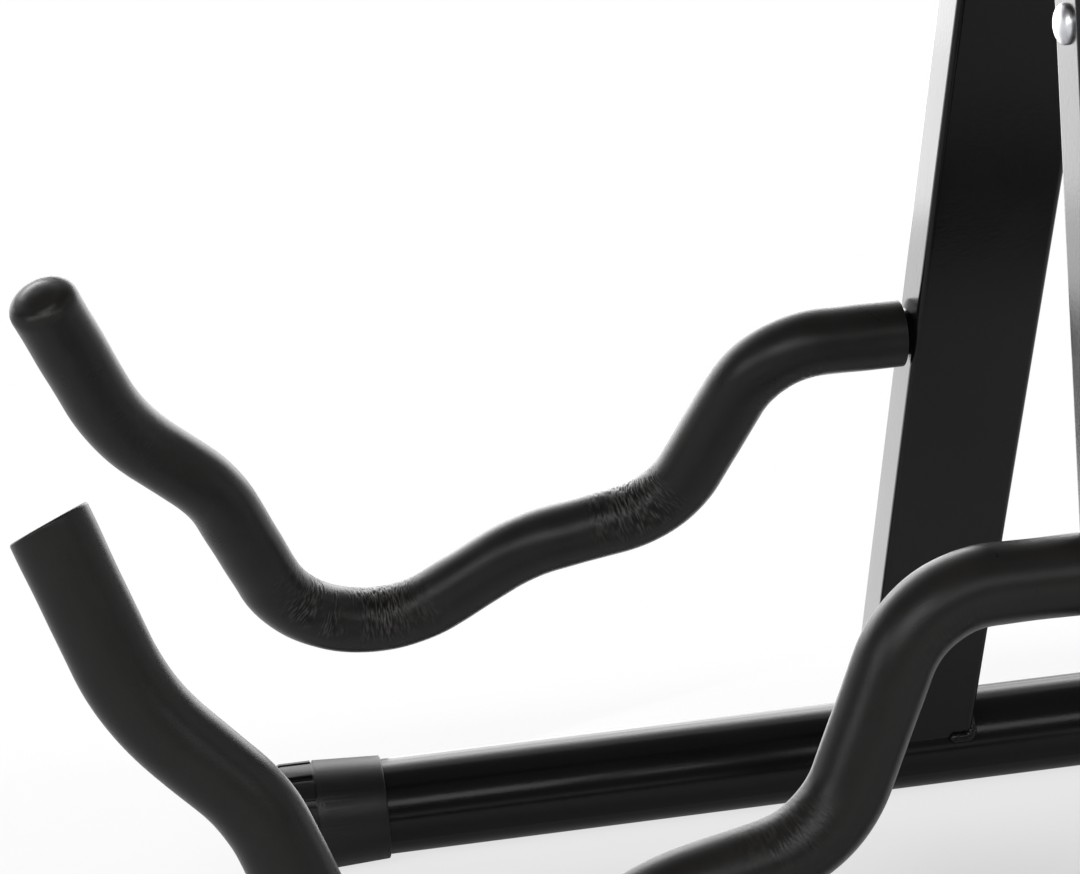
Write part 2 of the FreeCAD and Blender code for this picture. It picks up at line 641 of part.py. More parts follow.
def make_thrust_washers():
    """A thin washer on each side of the eye."""
    washers = new_body("hinge_thrust_washers")
    axis = f"{SIDES['left']} * dims.hinge_offset"
    inner_face = "(dims.knuckle_width / 2 + dims.hinge_play)"
    for front, backwards in ((f"{inner_face} - {MID_LEG}", False), (f"-{inner_face} - {MID_LEG}", True)):
        ring = new_sketch(washers, "XZ_Plane", out=front)
        draw_circle(ring, axis, HINGE_UP, "dims.thrust_od / 2")
        draw_circle(ring, axis, HINGE_UP, "dims.hinge_bolt_od / 2 + dims.bolt_fit")
        pad(washers, ring, "dims.thrust_thick", backwards=backwards)
    place_in_frame(washers, "left")
    return washers


def make_hinge_bolt():
    """Hexagon bolt through fork and bush, with its head to the front."""
    bolt = new_body("hinge_bolt")
    axis = f"{SIDES['left']} * dims.hinge_offset"
    front = f"{FORK_WIDTH} / 2 - {MID_LEG}"
    head = new_sketch(bolt, "XZ_Plane", out=front)
    draw_hexagon(head, axis, HINGE_UP, "dims.hinge_hex")
    pad(bolt, head, "dims.hinge_head")
    shank = new_sketch(bolt, "XZ_Plane", out=front)
    draw_circle(shank, axis, HINGE_UP, "dims.hinge_bolt_od / 2")
    pad(bolt, shank, f"{FORK_WIDTH} + dims.hinge_nut_high + dims.thread_end", backwards=True)
    place_in_frame(bolt, "left")
    return bolt


def make_hinge_nut():
    """Lock nut behind the fork."""
    nut = new_body("hinge_nut")
    axis = f"{SIDES['left']} * dims.hinge_offset"
    ring = new_sketch(nut, "XZ_Plane", out=f"-{FORK_WIDTH} / 2 - {MID_LEG}")
    draw_hexagon(ring, axis, HINGE_UP, "dims.hinge_hex")
    draw_circle(ring, axis, HINGE_UP, "dims.hinge_bolt_od / 2 + dims.running_fit")
    pad(nut, ring, "dims.hinge_nut_high", backwards=True)
    place_in_frame(nut, "left")
    return nut


def make_domed_bolt(label, side):
    """Bolt through the leg, with a low domed head on its front face and a thread behind it."""
    bolt = new_body(label)
    head = new_sketch(bolt, "XZ_Plane")
    draw_circle(head, "0", STAY_UP, "dims.dome_od / 2")
    pad(bolt, head, "dims.dome_high")
    round_edges(bolt, "dims.dome_round", lies_at("Y", "-dims.dome_high"))
    shank = new_sketch(bolt, "XZ_Plane")
    draw_circle(shank, "0", STAY_UP, "dims.stay_bolt_od / 2")
    stack = f"{STAY_STACK} + dims.stay_washer_thick + dims.stay_nut_high + dims.thread_end"
    pad(bolt, shank, f"dims.leg_width + {stack}", backwards=True)
    place_in_frame(bolt, side)
    return bolt


def make_lock_nut(label, side):
    """Lock nut on a domed bolt, behind its washer."""
    nut = new_body(label)
    ring = new_sketch(nut, "XZ_Plane", out=f"-dims.leg_width - {STAY_STACK} - dims.stay_washer_thick")
    draw_hexagon(ring, "0", STAY_UP, "dims.stay_hex")
    draw_circle(ring, "0", STAY_UP, "dims.stay_bolt_od / 2 + dims.running_fit")
    pad(nut, ring, "dims.stay_nut_high", backwards=True)
    place_in_frame(nut, side)
    return nut


def add_bolt_ring(body, depth, outer, length):
    """A ring round a domed bolt, from a depth behind the leg's front face."""
    ring = new_sketch(body, "XZ_Plane", out=f"-({depth})")
    draw_circle(ring, "0", STAY_UP, outer)
    draw_circle(ring, "0", STAY_UP, "dims.stay_bolt_od / 2 + dims.bolt_fit")
    pad(body, ring, length, backwards=True)


def make_stay_washers():
    """Washers in front of and behind the hook bar, on its pivot bolt."""
    washers = new_body("stay_washers")
    for depth in ("dims.leg_width", f"dims.leg_width + {STAY_STACK}"):
        add_bolt_ring(washers, depth, "dims.stay_washer_od / 2", "dims.stay_washer_thick")
    place_in_frame(washers, "left")
    return washers


def make_latch_sleeve():
    """Spacer on the latch bolt, which the hook drops over."""
    sleeve = new_body("latch_sleeve")
    add_bolt_ring(sleeve, "dims.leg_width", "dims.latch_od / 2", STAY_STACK)
    place_in_frame(sleeve, "right")
    return sleeve


def make_latch_washer():
    """Wide washer that keeps the hook on the sleeve."""
    washer = new_body("latch_washer")
    depth = f"dims.leg_width + {STAY_STACK}"
    add_bolt_ring(washer, depth, "dims.latch_washer_od / 2", "dims.stay_washer_thick")
    place_in_frame(washer, "right")
    return washer


def make_hook_bar():
    """Flat bar that turns on the stay bolt and hooks over the latch sleeve from above."""
    bar = new_body("hook_bar")
    half = "dims.bar_width / 2"
    throat_up = f"{NOTCH} * sin({THROAT_ANGLE})"
    wall = f"{STAY_SPAN} + {NOTCH}"
    end = f"{wall} + dims.hook_lip"
    outline = new_sketch(bar, "XZ_Plane")
    draw_polygon(outline, [("0", f"-{half}"), (f"{STAY_SPAN} - {NOTCH} * cos({THROAT_ANGLE})", throat_up),
                           (wall, throat_up), (wall, "-dims.hook_drop"), (end, "-dims.hook_drop"),
                           (end, half), ("0", half)])
    pad(bar, outline, "dims.bar_thick", backwards=True)
    pivot_end = new_sketch(bar, "XZ_Plane")
    draw_circle(pivot_end, "0", "0", half)
    pad(bar, pivot_end, "dims.bar_thick", backwards=True)
    holes = new_sketch(bar, "XZ_Plane")
    draw_circle(holes, "0", "0", "dims.stay_bolt_od / 2 + dims.running_fit")
    draw_circle(holes, STAY_SPAN, "0", NOTCH)
    pocket(bar, holes, both_ways=True)
    far_end = value(end) - SAME_PLACE
    corner = runs_along("y")
    round_edges(bar, "dims.hook_round", lambda edge: corner(edge) and edge.BoundBox.XMax > far_end)
    place(bar, f"-{STAY_SPAN} / 2", BAR_FRONT, f"{FRAME_HIGH} + {STAY_UP} * cos(dims.lean)")
    return bar


nodes = []
for side_name in SIDES:
    nodes.append(make_leg(side_name))
    nodes.append(make_foot_tube(side_name))
    nodes.append(make_leg_weld(side_name))
    nodes.append(make_arm_rod(side_name))
    nodes.append(make_arm_weld(side_name))
    nodes.append(make_arm_foam(side_name))
    nodes.append(make_cap(side_name, "front"))
    nodes.append(make_cap(side_name, "rear"))
    nodes.append(make_top_plug(side_name))
    nodes.append(make_back_pad(side_name))
nodes.append(make_hinge_fork())
nodes.append(make_hinge_eye())
nodes.append(make_hinge_bush())
nodes.append(make_thrust_washers())
nodes.append(make_hinge_bolt())
nodes.append(make_hinge_nut())
nodes.append(make_domed_bolt("stay_bolt", "left"))
nodes.append(make_stay_washers())
nodes.append(make_hook_bar())
nodes.append(make_lock_nut("stay_nut", "left"))
nodes.append(make_domed_bolt("latch_bolt", "right"))
nodes.append(make_latch_sleeve())
nodes.append(make_latch_washer())
nodes.append(make_lock_nut("latch_nut", "right"))
doc.recompute()

# The origin lies under the middle of the whole stand's depth
depth_box = Part.makeCompound([node.Shape for node in nodes]).optimalBoundingBox(False)
sheet.set(SHIFT_CELL, f"{-(depth_box.YMin + depth_box.YMax) / 2:.3f}")
doc.recompute()

for item in doc.Objects:
    if "Invalid" in item.State or "Error" in item.State:
        raise RuntimeError(f"{item.Label} failed: {item.State}")
for node in nodes:
    if node.Shape.isNull() or not node.Shape.isValid():
        raise RuntimeError(f"{node.Label} has no valid shape")

os.makedirs("parts", exist_ok=True)
for node in nodes:
    node.Shape.exportStep(os.path.join("parts", f"{node.Label}.step"))
    print(f"{node.Label}: {len(node.Shape.Solids)} solid, {node.Shape.Volume:.0f} mm3")
print(f"legs' front face at y = {value('dims.depth_shift'):.3f}")
print(f"foot axis at z = {value(FOOT_AXIS_HIGH):.3f}")
print(f"up the leg: hinge {value(HINGE_UP):.3f}, stay bolts {value(STAY_UP):.3f}, top {value(LEG_TOP):.3f}")
print(f"a side frame's foot at x = {value(FRAME_HALF_SPREAD):.3f}, z = {value(FRAME_HIGH):.3f}")
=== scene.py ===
import json
import math
from collections import namedtuple

import bmesh
import bpy
from bpy.props import FloatProperty, FloatVectorProperty, PointerProperty
from mathutils import Matrix, Vector, noise


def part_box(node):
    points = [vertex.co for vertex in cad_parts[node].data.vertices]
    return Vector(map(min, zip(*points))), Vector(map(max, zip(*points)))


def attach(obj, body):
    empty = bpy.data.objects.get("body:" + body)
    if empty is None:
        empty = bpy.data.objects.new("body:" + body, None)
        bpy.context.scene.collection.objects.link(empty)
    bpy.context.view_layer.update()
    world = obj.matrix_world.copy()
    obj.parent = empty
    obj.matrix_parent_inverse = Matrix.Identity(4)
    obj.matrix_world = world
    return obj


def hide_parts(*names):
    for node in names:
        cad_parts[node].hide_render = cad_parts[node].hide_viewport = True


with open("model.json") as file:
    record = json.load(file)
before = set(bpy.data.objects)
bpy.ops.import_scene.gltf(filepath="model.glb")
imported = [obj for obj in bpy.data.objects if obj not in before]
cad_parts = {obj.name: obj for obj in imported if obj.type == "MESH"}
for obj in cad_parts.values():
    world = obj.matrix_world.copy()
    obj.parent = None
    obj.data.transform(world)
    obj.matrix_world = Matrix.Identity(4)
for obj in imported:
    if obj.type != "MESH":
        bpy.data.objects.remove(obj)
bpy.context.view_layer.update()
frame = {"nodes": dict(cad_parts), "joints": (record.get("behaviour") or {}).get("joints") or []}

bl_info = {
    "name": "Guitar Stand",
    "version": (1, 0, 0),
    "blender": (4, 5, 0),
    "location": "View3D > Sidebar > Guitar Stand",
    "description": "Dresses a folding A-frame guitar stand in foam, rubber, paint and zinc, on a pale floor",
    "category": "Object",
}

MM = 0.001

# Sides of the stand, with the sign of the lean of each side frame towards the middle
SIDES = {"left": 1, "right": -1}
FOLD_JOINT = next(joint for joint in frame["joints"] if joint["name"] == "fold")
LEAN = math.radians(FOLD_JOINT["range_deg"][1]) / 2
LEG_INSET = 3 * MM
LEG_THICK = 16 * MM
LEG_CORNER = 1.8 * MM

# Edges that turn by more than these angles stay sharp in the shading
SHARP, SLEEVE_SHARP, CUSHION_SHARP, BEAD_SHARP = [math.radians(angle) for angle in (38, 60, 70, 75)]
# Vertices closer than these are one: in a copied CAD node, a turned piece and a sleeve
CAD_MERGE, LATHE_MERGE, SLEEVE_MERGE = 0.002 * MM, 0.005 * MM, 0.01 * MM
# A copied CAD node's triangles join where they lie flat, and its edges are rounded where they turn further
FLAT_ANGLE, BEVEL_ANGLE = math.radians(0.6), math.radians(35)
# Width of that rounding on the foot caps, the leg plugs and the pressed steel
CAP_EDGE, PLUG_EDGE, STEEL_EDGE = 0.3 * MM, 0.4 * MM, 0.5 * MM

# The arm's bends, seen in the plane of a side frame: out from the leg's front, up from the foot axis, the
# bend's radius, how far apart the foam's rings lie in it, how strongly it creases the foam on its inner side,
# and by what share of the bend these creases lie towards the tip
Bend = namedtuple("Bend", "out up radius spacing creases shift")
ARM_BENDS = (
    Bend(41.5 * MM, 173.2 * MM, 27 * MM, 0.35 * MM, 0.4, 0),
    Bend(66 * MM, 117.4 * MM, 30 * MM, 0.22 * MM, 1.0, 0.22),
    Bend(108.5 * MM, 108.4 * MM, 45 * MM, 0.9 * MM, 0.1, 0),
    Bend(168.5 * MM, 67.1 * MM, 33 * MM, 0.22 * MM, 1.0, 0.03),
    Bend(196 * MM, 142.6 * MM, 43 * MM, 0.9 * MM, 0.1, 0),
    Bend(220.5 * MM, 168.6 * MM, 60 * MM, 0.6 * MM, 0.1, 0),
)
ARM_TIP_RISE = math.radians(71.5)
ROD_TIP_RUN = 40 * MM
# How far apart the rings lie on plain runs, on runs behind a strongly creased bend, and in the bore
RUN_SPACING = 1.2 * MM
CREASED_RUN_SPACING = 0.3 * MM
BORE_SPACING = 4 * MM
SLEEVE_SEGMENTS = 104
# The foam's tips differ: how far each runs beyond the tip bend's corner, the radius of its rim, the bulge of
# its end, how far its cut leans towards the middle of the stand and towards the leg, and whether its rim
# carries a painted highlight line where a fold would catch the light
Tip = namedtuple("Tip", "run rim crown lean_in lean_back folded")
TIPS = {
    "left": Tip(51 * MM, 4 * MM, 1.1 * MM, 0, 0, True),
    "right": Tip(45.4 * MM, 0.8 * MM, 0.05 * MM, math.radians(9.5), math.radians(5.5), False),
}
TIP_LEAN_LENGTH = 14 * MM
# Rings of a tip's rim, and those of its end as shares of the end's radius
RIM_RINGS = 6
CROWN_RINGS = (0.8, 0.6, 0.4, 0.2)
# A painted highlight line on a tip's rim, where a fold would catch the light: which ring of the rim it
# follows, its middle and half its length round the rim, and how boldly it is painted
HIGHLIGHT_RING, HIGHLIGHT_TURN, HIGHLIGHT_REACH, HIGHLIGHT_BOLDNESS = 3, 0.25, 0.45, 1.6

# How strongly each sleeve is creased: the left one shows its creases, the right one hardly any
CREASED = {"left": 1.0, "right": 0.25}
CREASE_SEED = 5.3
# Creases run past a bend's ends by a share of the bend, and fade over a share of it
CREASE_OVERRUN, CREASE_FADE = 0.12, 0.35
# Round the sleeve they start a little outside its middle and grow to their full over a span, in sleeve radii
INNER_START, INNER_FADE = 0.12, 0.6
# They come in patches: the patches' scale against a crease, place in the noise, middle strength and swing
PATCH_SCALE, PATCH_PLACE, PATCH_MIDDLE, PATCH_SWING = 0.13, Vector((7, 3, 1)), 0.85, 1.2
# Scale of the sleeve's slow swell against a crease
SWELL_SCALE = 0.05
# Noise below one level is a crease and above another a ridge, each growing to its full over a span of noise;
# a ridge's height is a share of a crease's depth
CREASE_LEVEL, CREASE_SPAN = 0.02, 0.25
RIDGE_LEVEL, RIDGE_SPAN, RIDGE_HEIGHT = 0.06, 0.22, 0.5
Stretch = namedtuple("Stretch", "length spacing move turn creases shift")

# Back cushions: corner radius as a share of the width, radius of the front's edge, length past which an edge
# is divided, how far the sides draw in as a share of the width, and the flat rear that isn't smoothed
CUSHION_CORNER, CUSHION_EDGE, CUSHION_GRID = 0.32, 3 * MM, 2 * MM
CUSHION_WAIST, CUSHION_SEAT = 0.05, 0.5 * MM

# Threads of the stay's bolts and of the hinge bolt, the room round them, and the width of each nut's flats
BOLT_RADIUS, BOLT_PITCH = 2.5 * MM, 0.8 * MM
HINGE_BOLT_RADIUS, HINGE_BOLT_PITCH = 4 * MM, 1.25 * MM
BOLT_FIT = 0.1 * MM
NUT_FLATS = {"stay_nut": 8 * MM, "latch_nut": 8 * MM, "hinge_nut": 13 * MM}
# Depth of a thread and of the chamfer at its end, in pitches
THREAD_DEPTH, THREAD_CHAMFER = 0.54, 0.6
# Height of a domed head's straight rim, and the rings of its dome
DOME_RIM, DOME_RINGS = 0.35 * MM, 12
# Hexagons: chamfer as a share of the flats, and steps of a turn. The dish in the hinge bolt's head: its
# depth, and the radius of its floor and of its rim as shares of the flats
HEX_CHAMFER, HEX_STEPS = 0.08, 72
DISH_DEPTH, DISH_FLOOR, DISH_RIM = 0.3 * MM, 0.36, 0.4
# Lock nuts: the hexagon's share of the height, the collar's radius as a share of the flats, the radius of its
# edge, its rise from the hexagon, and the nylon ring's share of the collar and depth in it
NUT_BODY, NUT_COLLAR, COLLAR_EDGE, COLLAR_STEP = 0.66, 0.43, 0.5 * MM, 0.1 * MM
NYLON_SHARE, NYLON_SINK = 0.45, 0.15 * MM
# Edge radius of the washers and of the latch sleeve, and the steps of a rounded edge
WASHER_EDGE, LATCH_EDGE, ARC_STEPS = 0.2 * MM, 0.3 * MM, 4
# Room within which a vertex counts as lying on a plane
ON_PLANE = 0.01 * MM

# Weld beads: radius, rise from the tube, length along the leg's sides, distance of the rings, and segments
BEAD_RADIUS, BEAD_LIFT, BEAD_REACH, BEAD_STEP, BEAD_SEGMENTS = 1.8 * MM, 0.5 * MM, 7.5 * MM, 0.25 * MM, 20
# Their ripples, the slow change of their thickness, and their tapered ends
RIPPLE_PITCH, RIPPLE_SHARE = 1.5 * MM, 0.07
WANDER_LENGTH, WANDER_SHARE, WANDER_SEED = 2.5 * MM, 0.1, 3
TAPER_LENGTH, TAPER_END = 1.5 * MM, 0.04

# Soft lights, in metres, each with its brightness and the angle that it spreads its light over
Softbox = namedtuple("Softbox", "name place target width height radiance spread")
WIDE, NARROW = math.pi, math.radians(120)
SOFTBOXES = (
    Softbox("back_softbox", (-0.85, -0.1, 0.62), (0, -0.1, 0.62), 1.9, 1.2, 0.95, WIDE),
    Softbox("edge_strip", (-0.85, -0.1, 0.38), (0, -0.1, 0.38), 1.9, 0.22, 3.4, WIDE),
    Softbox("rear_strip", (-0.5, -0.1, 0.2), (0, -0.1, 0.2), 0.9, 0.3, 1.65, WIDE),
    Softbox("low_strip", (-0.21, -0.005, 0.2), (0, 0.055, 0.22), 0.2, 0.4, 0.95, NARROW),
    Softbox("tube_strip", (0.8, 0.14, 0.74), (-0.1, 0.02, 0.05), 1.1, 0.23, 3.2, WIDE),
    Softbox("arm_softbox", (0.7, -0.46, 0.9), (-0.08, -0.1, 0.12), 0.48, 0.3, 7.5, WIDE),
    Softbox("side_softbox", (0.42, -1.0, 0.67), (-0.08, -0.08, 0.12), 0.45, 0.38, 5.5, WIDE),
    Softbox("rear_side_softbox", (0.05, 1.0, 0.85), (0, 0, 0.1), 0.9, 0.9, 0.9, WIDE),
)
# Half the floor's width, in metres
FLOOR_HALF = 6
# Where the floor starts to turn white and where it is white, in metres: all round the stand, on its left, and
# nearer on its left, where it takes a share of white that only the camera sees, painted light over the shadow
FAR_WHITE, LEFT_WHITE, NEAR_PAINTED_LIGHT_RAMP, NEAR_PAINTED_LIGHT_SHARE = (0.35, 0.9), (-0.13, -0.22), (0, -0.12), 0.72
# The world's fill, and the heights between which gloss sees it go from dim to white
WORLD_FILL, SKYLINE = 0.15, (0.22, 0.1)

# Painted shade of the foam in a crease and painted highlight on a ridge, against its own colour
PAINTED_CREASE_SHADE, PAINTED_RIDGE_HIGHLIGHT = 0.2, 3.8
# Most of a noise lies between these values
NOISE_LOW, NOISE_HIGH = 0.3, 0.7
# Places of a mix node's colour sockets
MIX_FIRST, MIX_SECOND, MIX_RESULT = 6, 7, 2


class StandFoam(bpy.types.PropertyGroup):
    """Sizes of the foam"""
    sleeve: FloatProperty(
        name="Sleeve diameter", description="Outer diameter of the foam on an arm",
        default=19 * MM, unit="LENGTH")
    bore: FloatProperty(
        name="Bore diameter", description="Inner diameter of the foam on an arm",
        default=10.2 * MM, unit="LENGTH")
    root_gap: FloatProperty(
        name="Root gap", description="Bare rod between the leg and the foam's cut end",
        default=2 * MM, unit="LENGTH")
    crease_depth: FloatProperty(
        name="Crease depth", description="Depth of the creases inside a bend",
        default=0.16 * MM, unit="LENGTH")
    crease_pitch: FloatProperty(
        name="Crease pitch", description="Distance from one crease to the next along the arm",
        default=1.1 * MM, unit="LENGTH")
    crease_length: FloatProperty(
        name="Crease length", description="How far a crease runs round the sleeve",
        default=4.4 * MM, unit="LENGTH")
    unevenness: FloatProperty(
        name="Unevenness", description="Slow swell and sink of the sleeve's skin",
        default=0.15 * MM, unit="LENGTH")
    pad_crown: FloatProperty(
        name="Pad crown", description="Bulge of a back cushion's face",
        default=1.4 * MM, unit="LENGTH")


class StandFinish(bpy.types.PropertyGroup):
    """Colours of the finishes"""
    paint: FloatVectorProperty(
        name="Paint", description="Black powder coat", subtype="COLOR", default=(0.004, 0.004, 0.0044))
    foam: FloatVectorProperty(
        name="Foam", description="Black closed-cell foam", subtype="COLOR", default=(0.0132, 0.0124, 0.0118))
    rubber: FloatVectorProperty(
        name="Rubber", description="Black rubber of the foot caps", subtype="COLOR",
        default=(0.006, 0.006, 0.0062))
    plastic: FloatVectorProperty(
        name="Plastic", description="Black plastic of plugs and nylon rings", subtype="COLOR",
        default=(0.014, 0.014, 0.015))
    zinc: FloatVectorProperty(
        name="Zinc", description="Bright zinc plate of the fasteners", subtype="COLOR",
        default=(0.62, 0.63, 0.65))


class StandStudio(bpy.types.PropertyGroup):
    """Camera, floor and light"""
    lens: FloatProperty(
        name="Lens", description="Focal length on a 36 mm wide sensor, in millimetres", default=88.81,
        unit="CAMERA")
    azimuth: FloatProperty(
        name="Azimuth", description="Turn of the camera round the stand, from its front to its right",
        default=math.radians(81.1846), unit="ROTATION", subtype="ANGLE")
    elevation: FloatProperty(
        name="Elevation", description="How far the camera looks down",
        default=math.radians(25.2476), unit="ROTATION", subtype="ANGLE")
    roll: FloatProperty(
        name="Roll", description="Turn of the camera about its own line of sight",
        default=math.radians(-2.3727), unit="ROTATION", subtype="ANGLE")
    place: FloatVectorProperty(
        name="Place", description="Where the camera stands",
        default=(589.86 * MM, -158.12 * MM, 478.7 * MM), unit="LENGTH", subtype="TRANSLATION")
    floor: FloatVectorProperty(
        name="Floor", description="Pale floor", subtype="COLOR", default=(0.82, 0.82, 0.83))


class StandSettings(bpy.types.PropertyGroup):
    """All that a user would change"""
    foam: PointerProperty(type=StandFoam)
    finish: PointerProperty(type=StandFinish)
    studio: PointerProperty(type=StandStudio)


def settings():
    """The stand's settings in the scene."""
    return bpy.context.scene.guitar_stand


def side_frame(side):
    """A side frame's axes in the leg's middle plane: Y rearwards from its front, Z up from the foot axis."""
    low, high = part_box(f"{side}_foot_tube")
    foot = (low + high) / 2
    place = Matrix.Translation((foot.x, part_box(f"{side}_leg")[0].y, foot.z))
    inset = Matrix.Translation((SIDES[side] * LEG_INSET, 0, 0))
    return place @ Matrix.Rotation(SIDES[side] * LEAN, 4, "Y") @ inset


# Mesh helpers

def extrude_ring(bm, ring):
    """Extrude a closed ring of edges; gives the new ring's edges and vertices."""
    made = bmesh.ops.extrude_edge_only(bm, edges=ring)["geom"]
    verts = [item for item in made if isinstance(item, bmesh.types.BMVert)]
    fresh = set(verts)
    edges = [item for item in made if isinstance(item, bmesh.types.BMEdge) and fresh.issuperset(item.verts)]
    return edges, verts


def ring_edges(verts):
    """The edges between the vertices of one ring."""
    inside = set(verts)
    return list({edge for vert in verts for edge in vert.link_edges if inside.issuperset(edge.verts)})


def close_ring(bm, ring):
    """Close a ring with a fan of faces about its middle."""
    verts = extrude_ring(bm, ring)[1]
    bmesh.ops.pointmerge(bm, verts=verts, merge_co=sum((vert.co for vert in verts), Vector()) / len(verts))


def join_part(bm, part):
    """Add a part made on its own to a bmesh."""
    mesh = bpy.data.meshes.new("part")
    part.to_mesh(mesh)
    part.free()
    bm.from_mesh(mesh)
    bpy.data.meshes.remove(mesh)


def shade(bm, sharp=SHARP):
    """Smooth shading, with edges that turn by more than an angle left sharp."""
    for face in bm.faces:
        face.smooth = True
    for edge in bm.edges:
        edge.smooth = not edge.is_manifold or edge.calc_face_angle() < sharp


def finish_piece(name, bm, materials, body, stands_for=()):
    """Make a bmesh a piece at the origin that rides on a body and may stand for CAD nodes."""
    mesh = bpy.data.meshes.new(name)
    bm.to_mesh(mesh)
    bm.free()
    for material in materials:
        mesh.materials.append(material)
    piece = bpy.data.objects.new(name, mesh)
    bpy.context.scene.collection.objects.link(piece)
    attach(piece, body)
    if stands_for:
        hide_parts(*stands_for)
    return piece


def finish_on_frame(side, name, bm, sharp, material, node):
    """Carry a piece from a side frame's axes to its place there, in a node's stead."""
    shade(bm, sharp)
    bmesh.ops.transform(bm, matrix=side_frame(side), verts=bm.verts)
    return finish_piece(f"{side}_{name}", bm, [material], f"{side}_frame", [f"{side}_{node}"])


def lathe(bm, profile, steps=64):
    """Turn a profile of (radius, height) points once round the Z axis."""
    verts = [bm.verts.new((radius, 0, height)) for radius, height in profile]
    edges = [bm.edges.new(pair) for pair in zip(verts, verts[1:])]
    bmesh.ops.spin(bm, geom=verts + edges, cent=(0, 0, 0), axis=(0, 0, 1), dvec=(0, 0, 0),
                   angle=2 * math.pi, steps=steps, use_merge=True, use_duplicate=False)
    bmesh.ops.remove_doubles(bm, verts=bm.verts, dist=LATHE_MERGE)
    bmesh.ops.recalc_face_normals(bm, faces=bm.faces)


def arc(centre, radius, start, end):
    """Points of an arc in a profile, from one angle to another in degrees."""
    points = []
    for step in range(ARC_STEPS + 1):
        turn = math.radians(start + (end - start) * step / ARC_STEPS)
        points.append((centre[0] + radius * math.cos(turn), centre[1] + radius * math.sin(turn)))
    return points


def round_edges(bm, edges, width, segments, clamp_overlap=False):
    """Round edges over a width."""
    bmesh.ops.bevel(bm, geom=edges, offset=width, offset_type="OFFSET", affect="EDGES", segments=segments,
                    profile=0.5, material=-1, clamp_overlap=clamp_overlap)


def softened(node, width):
    """A copy of a CAD node's shape with its sharp edges rounded."""
    bm = bmesh.new()
    bm.from_mesh(frame["nodes"][node].data)
    bmesh.ops.remove_doubles(bm, verts=bm.verts, dist=CAD_MERGE)
    bmesh.ops.dissolve_limit(bm, angle_limit=FLAT_ANGLE, verts=bm.verts, edges=bm.edges)
    edges = [edge for edge in bm.edges if edge.is_manifold and edge.calc_face_angle() > BEVEL_ANGLE]
    round_edges(bm, edges, width, segments=2, clamp_overlap=True)
    shade(bm)
    return bm


# Node groups and materials

def new_group(name, inputs, outputs):
    """A shader node group with named sockets."""
    tree = bpy.data.node_groups.new(name, "ShaderNodeTree")
    for label, kind, default in inputs:
        socket = tree.interface.new_socket(label, in_out="INPUT", socket_type=kind)
        if default is not None:
            socket.default_value = default
    for label, kind in outputs:
        tree.interface.new_socket(label, in_out="OUTPUT", socket_type=kind)
    return tree, tree.nodes.new("NodeGroupInput"), tree.nodes.new("NodeGroupOutput")


def add_node(tree, kind, links=(), **values):
    """A node with its properties set and its inputs linked or given values."""
    node = tree.nodes.new(kind)
    for key, value in values.items():
        setattr(node, key, value)
    for socket, source in links:
        if isinstance(source, bpy.types.NodeSocket):
            tree.links.new(source, node.inputs[socket])
        else:
            node.inputs[socket].default_value = source
    return node


def grain_group():
    """Fine surface grain: a height for bump and a slow mottle, on Object coordinates."""
    if "Grain" in bpy.data.node_groups:
        return bpy.data.node_groups["Grain"]
    tree, given, out = new_group(
        "Grain",
        [("Grain Size", "NodeSocketFloat", 0.5 * MM), ("Mottle Size", "NodeSocketFloat", 20 * MM)],
        [("Height", "NodeSocketFloat"), ("Mottle", "NodeSocketFloat")])
    place = add_node(tree, "ShaderNodeTexCoord").outputs["Object"]
    for size, output, detail, roughness in (("Grain Size", "Height", 3.0, 0.6),
                                            ("Mottle Size", "Mottle", 4.0, 0.55)):
        scale = add_node(tree, "ShaderNodeMath", [(0, 1.0), (1, given.outputs[size])], operation="DIVIDE")
        pattern = add_node(tree, "ShaderNodeTexNoise", [("Vector", place), ("Scale", scale.outputs[0]),
                                                        ("Detail", detail), ("Roughness", roughness)])
        tree.links.new(pattern.outputs["Fac"], out.inputs[output])
    return tree


def vary(tree, value, low, high):
    """Spread a noise over a range."""
    spread = add_node(tree, "ShaderNodeMapRange",
                      [("Value", value), ("From Min", NOISE_LOW), ("From Max", NOISE_HIGH),
                       ("To Min", low), ("To Max", high)])
    return spread.outputs["Result"]


def tint(tree, value, low, high):
    """A colour between two colours."""
    blend = add_node(tree, "ShaderNodeMix", [("Factor", value), (MIX_FIRST, low), (MIX_SECOND, high)],
                     data_type="RGBA")
    return blend.outputs[MIX_RESULT]


def scaled(colour, factor):
    """A darker or lighter shade of a colour, with full alpha."""
    return (*[channel * factor for channel in colour], 1)


def shaded(name, colour, spread, grain, mottle, bump, roughness, constants):
    """A Principled material with grain bump, mottled colour and roughness, and fixed values on sockets."""
    material = bpy.data.materials.get(name)
    if material:
        return material
    material = bpy.data.materials.new(name)
    material.use_nodes = True
    tree = material.node_tree
    shader = tree.nodes["Principled BSDF"]
    surface = add_node(tree, "ShaderNodeGroup", node_tree=grain_group())
    surface.inputs["Grain Size"].default_value = grain
    surface.inputs["Mottle Size"].default_value = mottle
    relief = add_node(tree, "ShaderNodeBump",
                      [("Height", surface.outputs["Height"]), ("Strength", bump), ("Distance", grain / 2)])
    tree.links.new(relief.outputs["Normal"], shader.inputs["Normal"])
    skin = tint(tree, surface.outputs["Mottle"], scaled(colour, 1 - spread), scaled(colour, 1 + spread))
    tree.links.new(skin, shader.inputs["Base Color"])
    tree.links.new(vary(tree, surface.outputs["Mottle"], *roughness), shader.inputs["Roughness"])
    for socket, value in constants.items():
        shader.inputs[socket].default_value = value
    return material


def paint_material():
    """Gloss black powder coat with a faint orange peel."""
    return shaded("black_powder_coat", settings().finish.paint, spread=0.15, grain=1.1 * MM, mottle=30 * MM,
                  bump=0.05, roughness=(0.16, 0.22), constants={"IOR": 1.3})


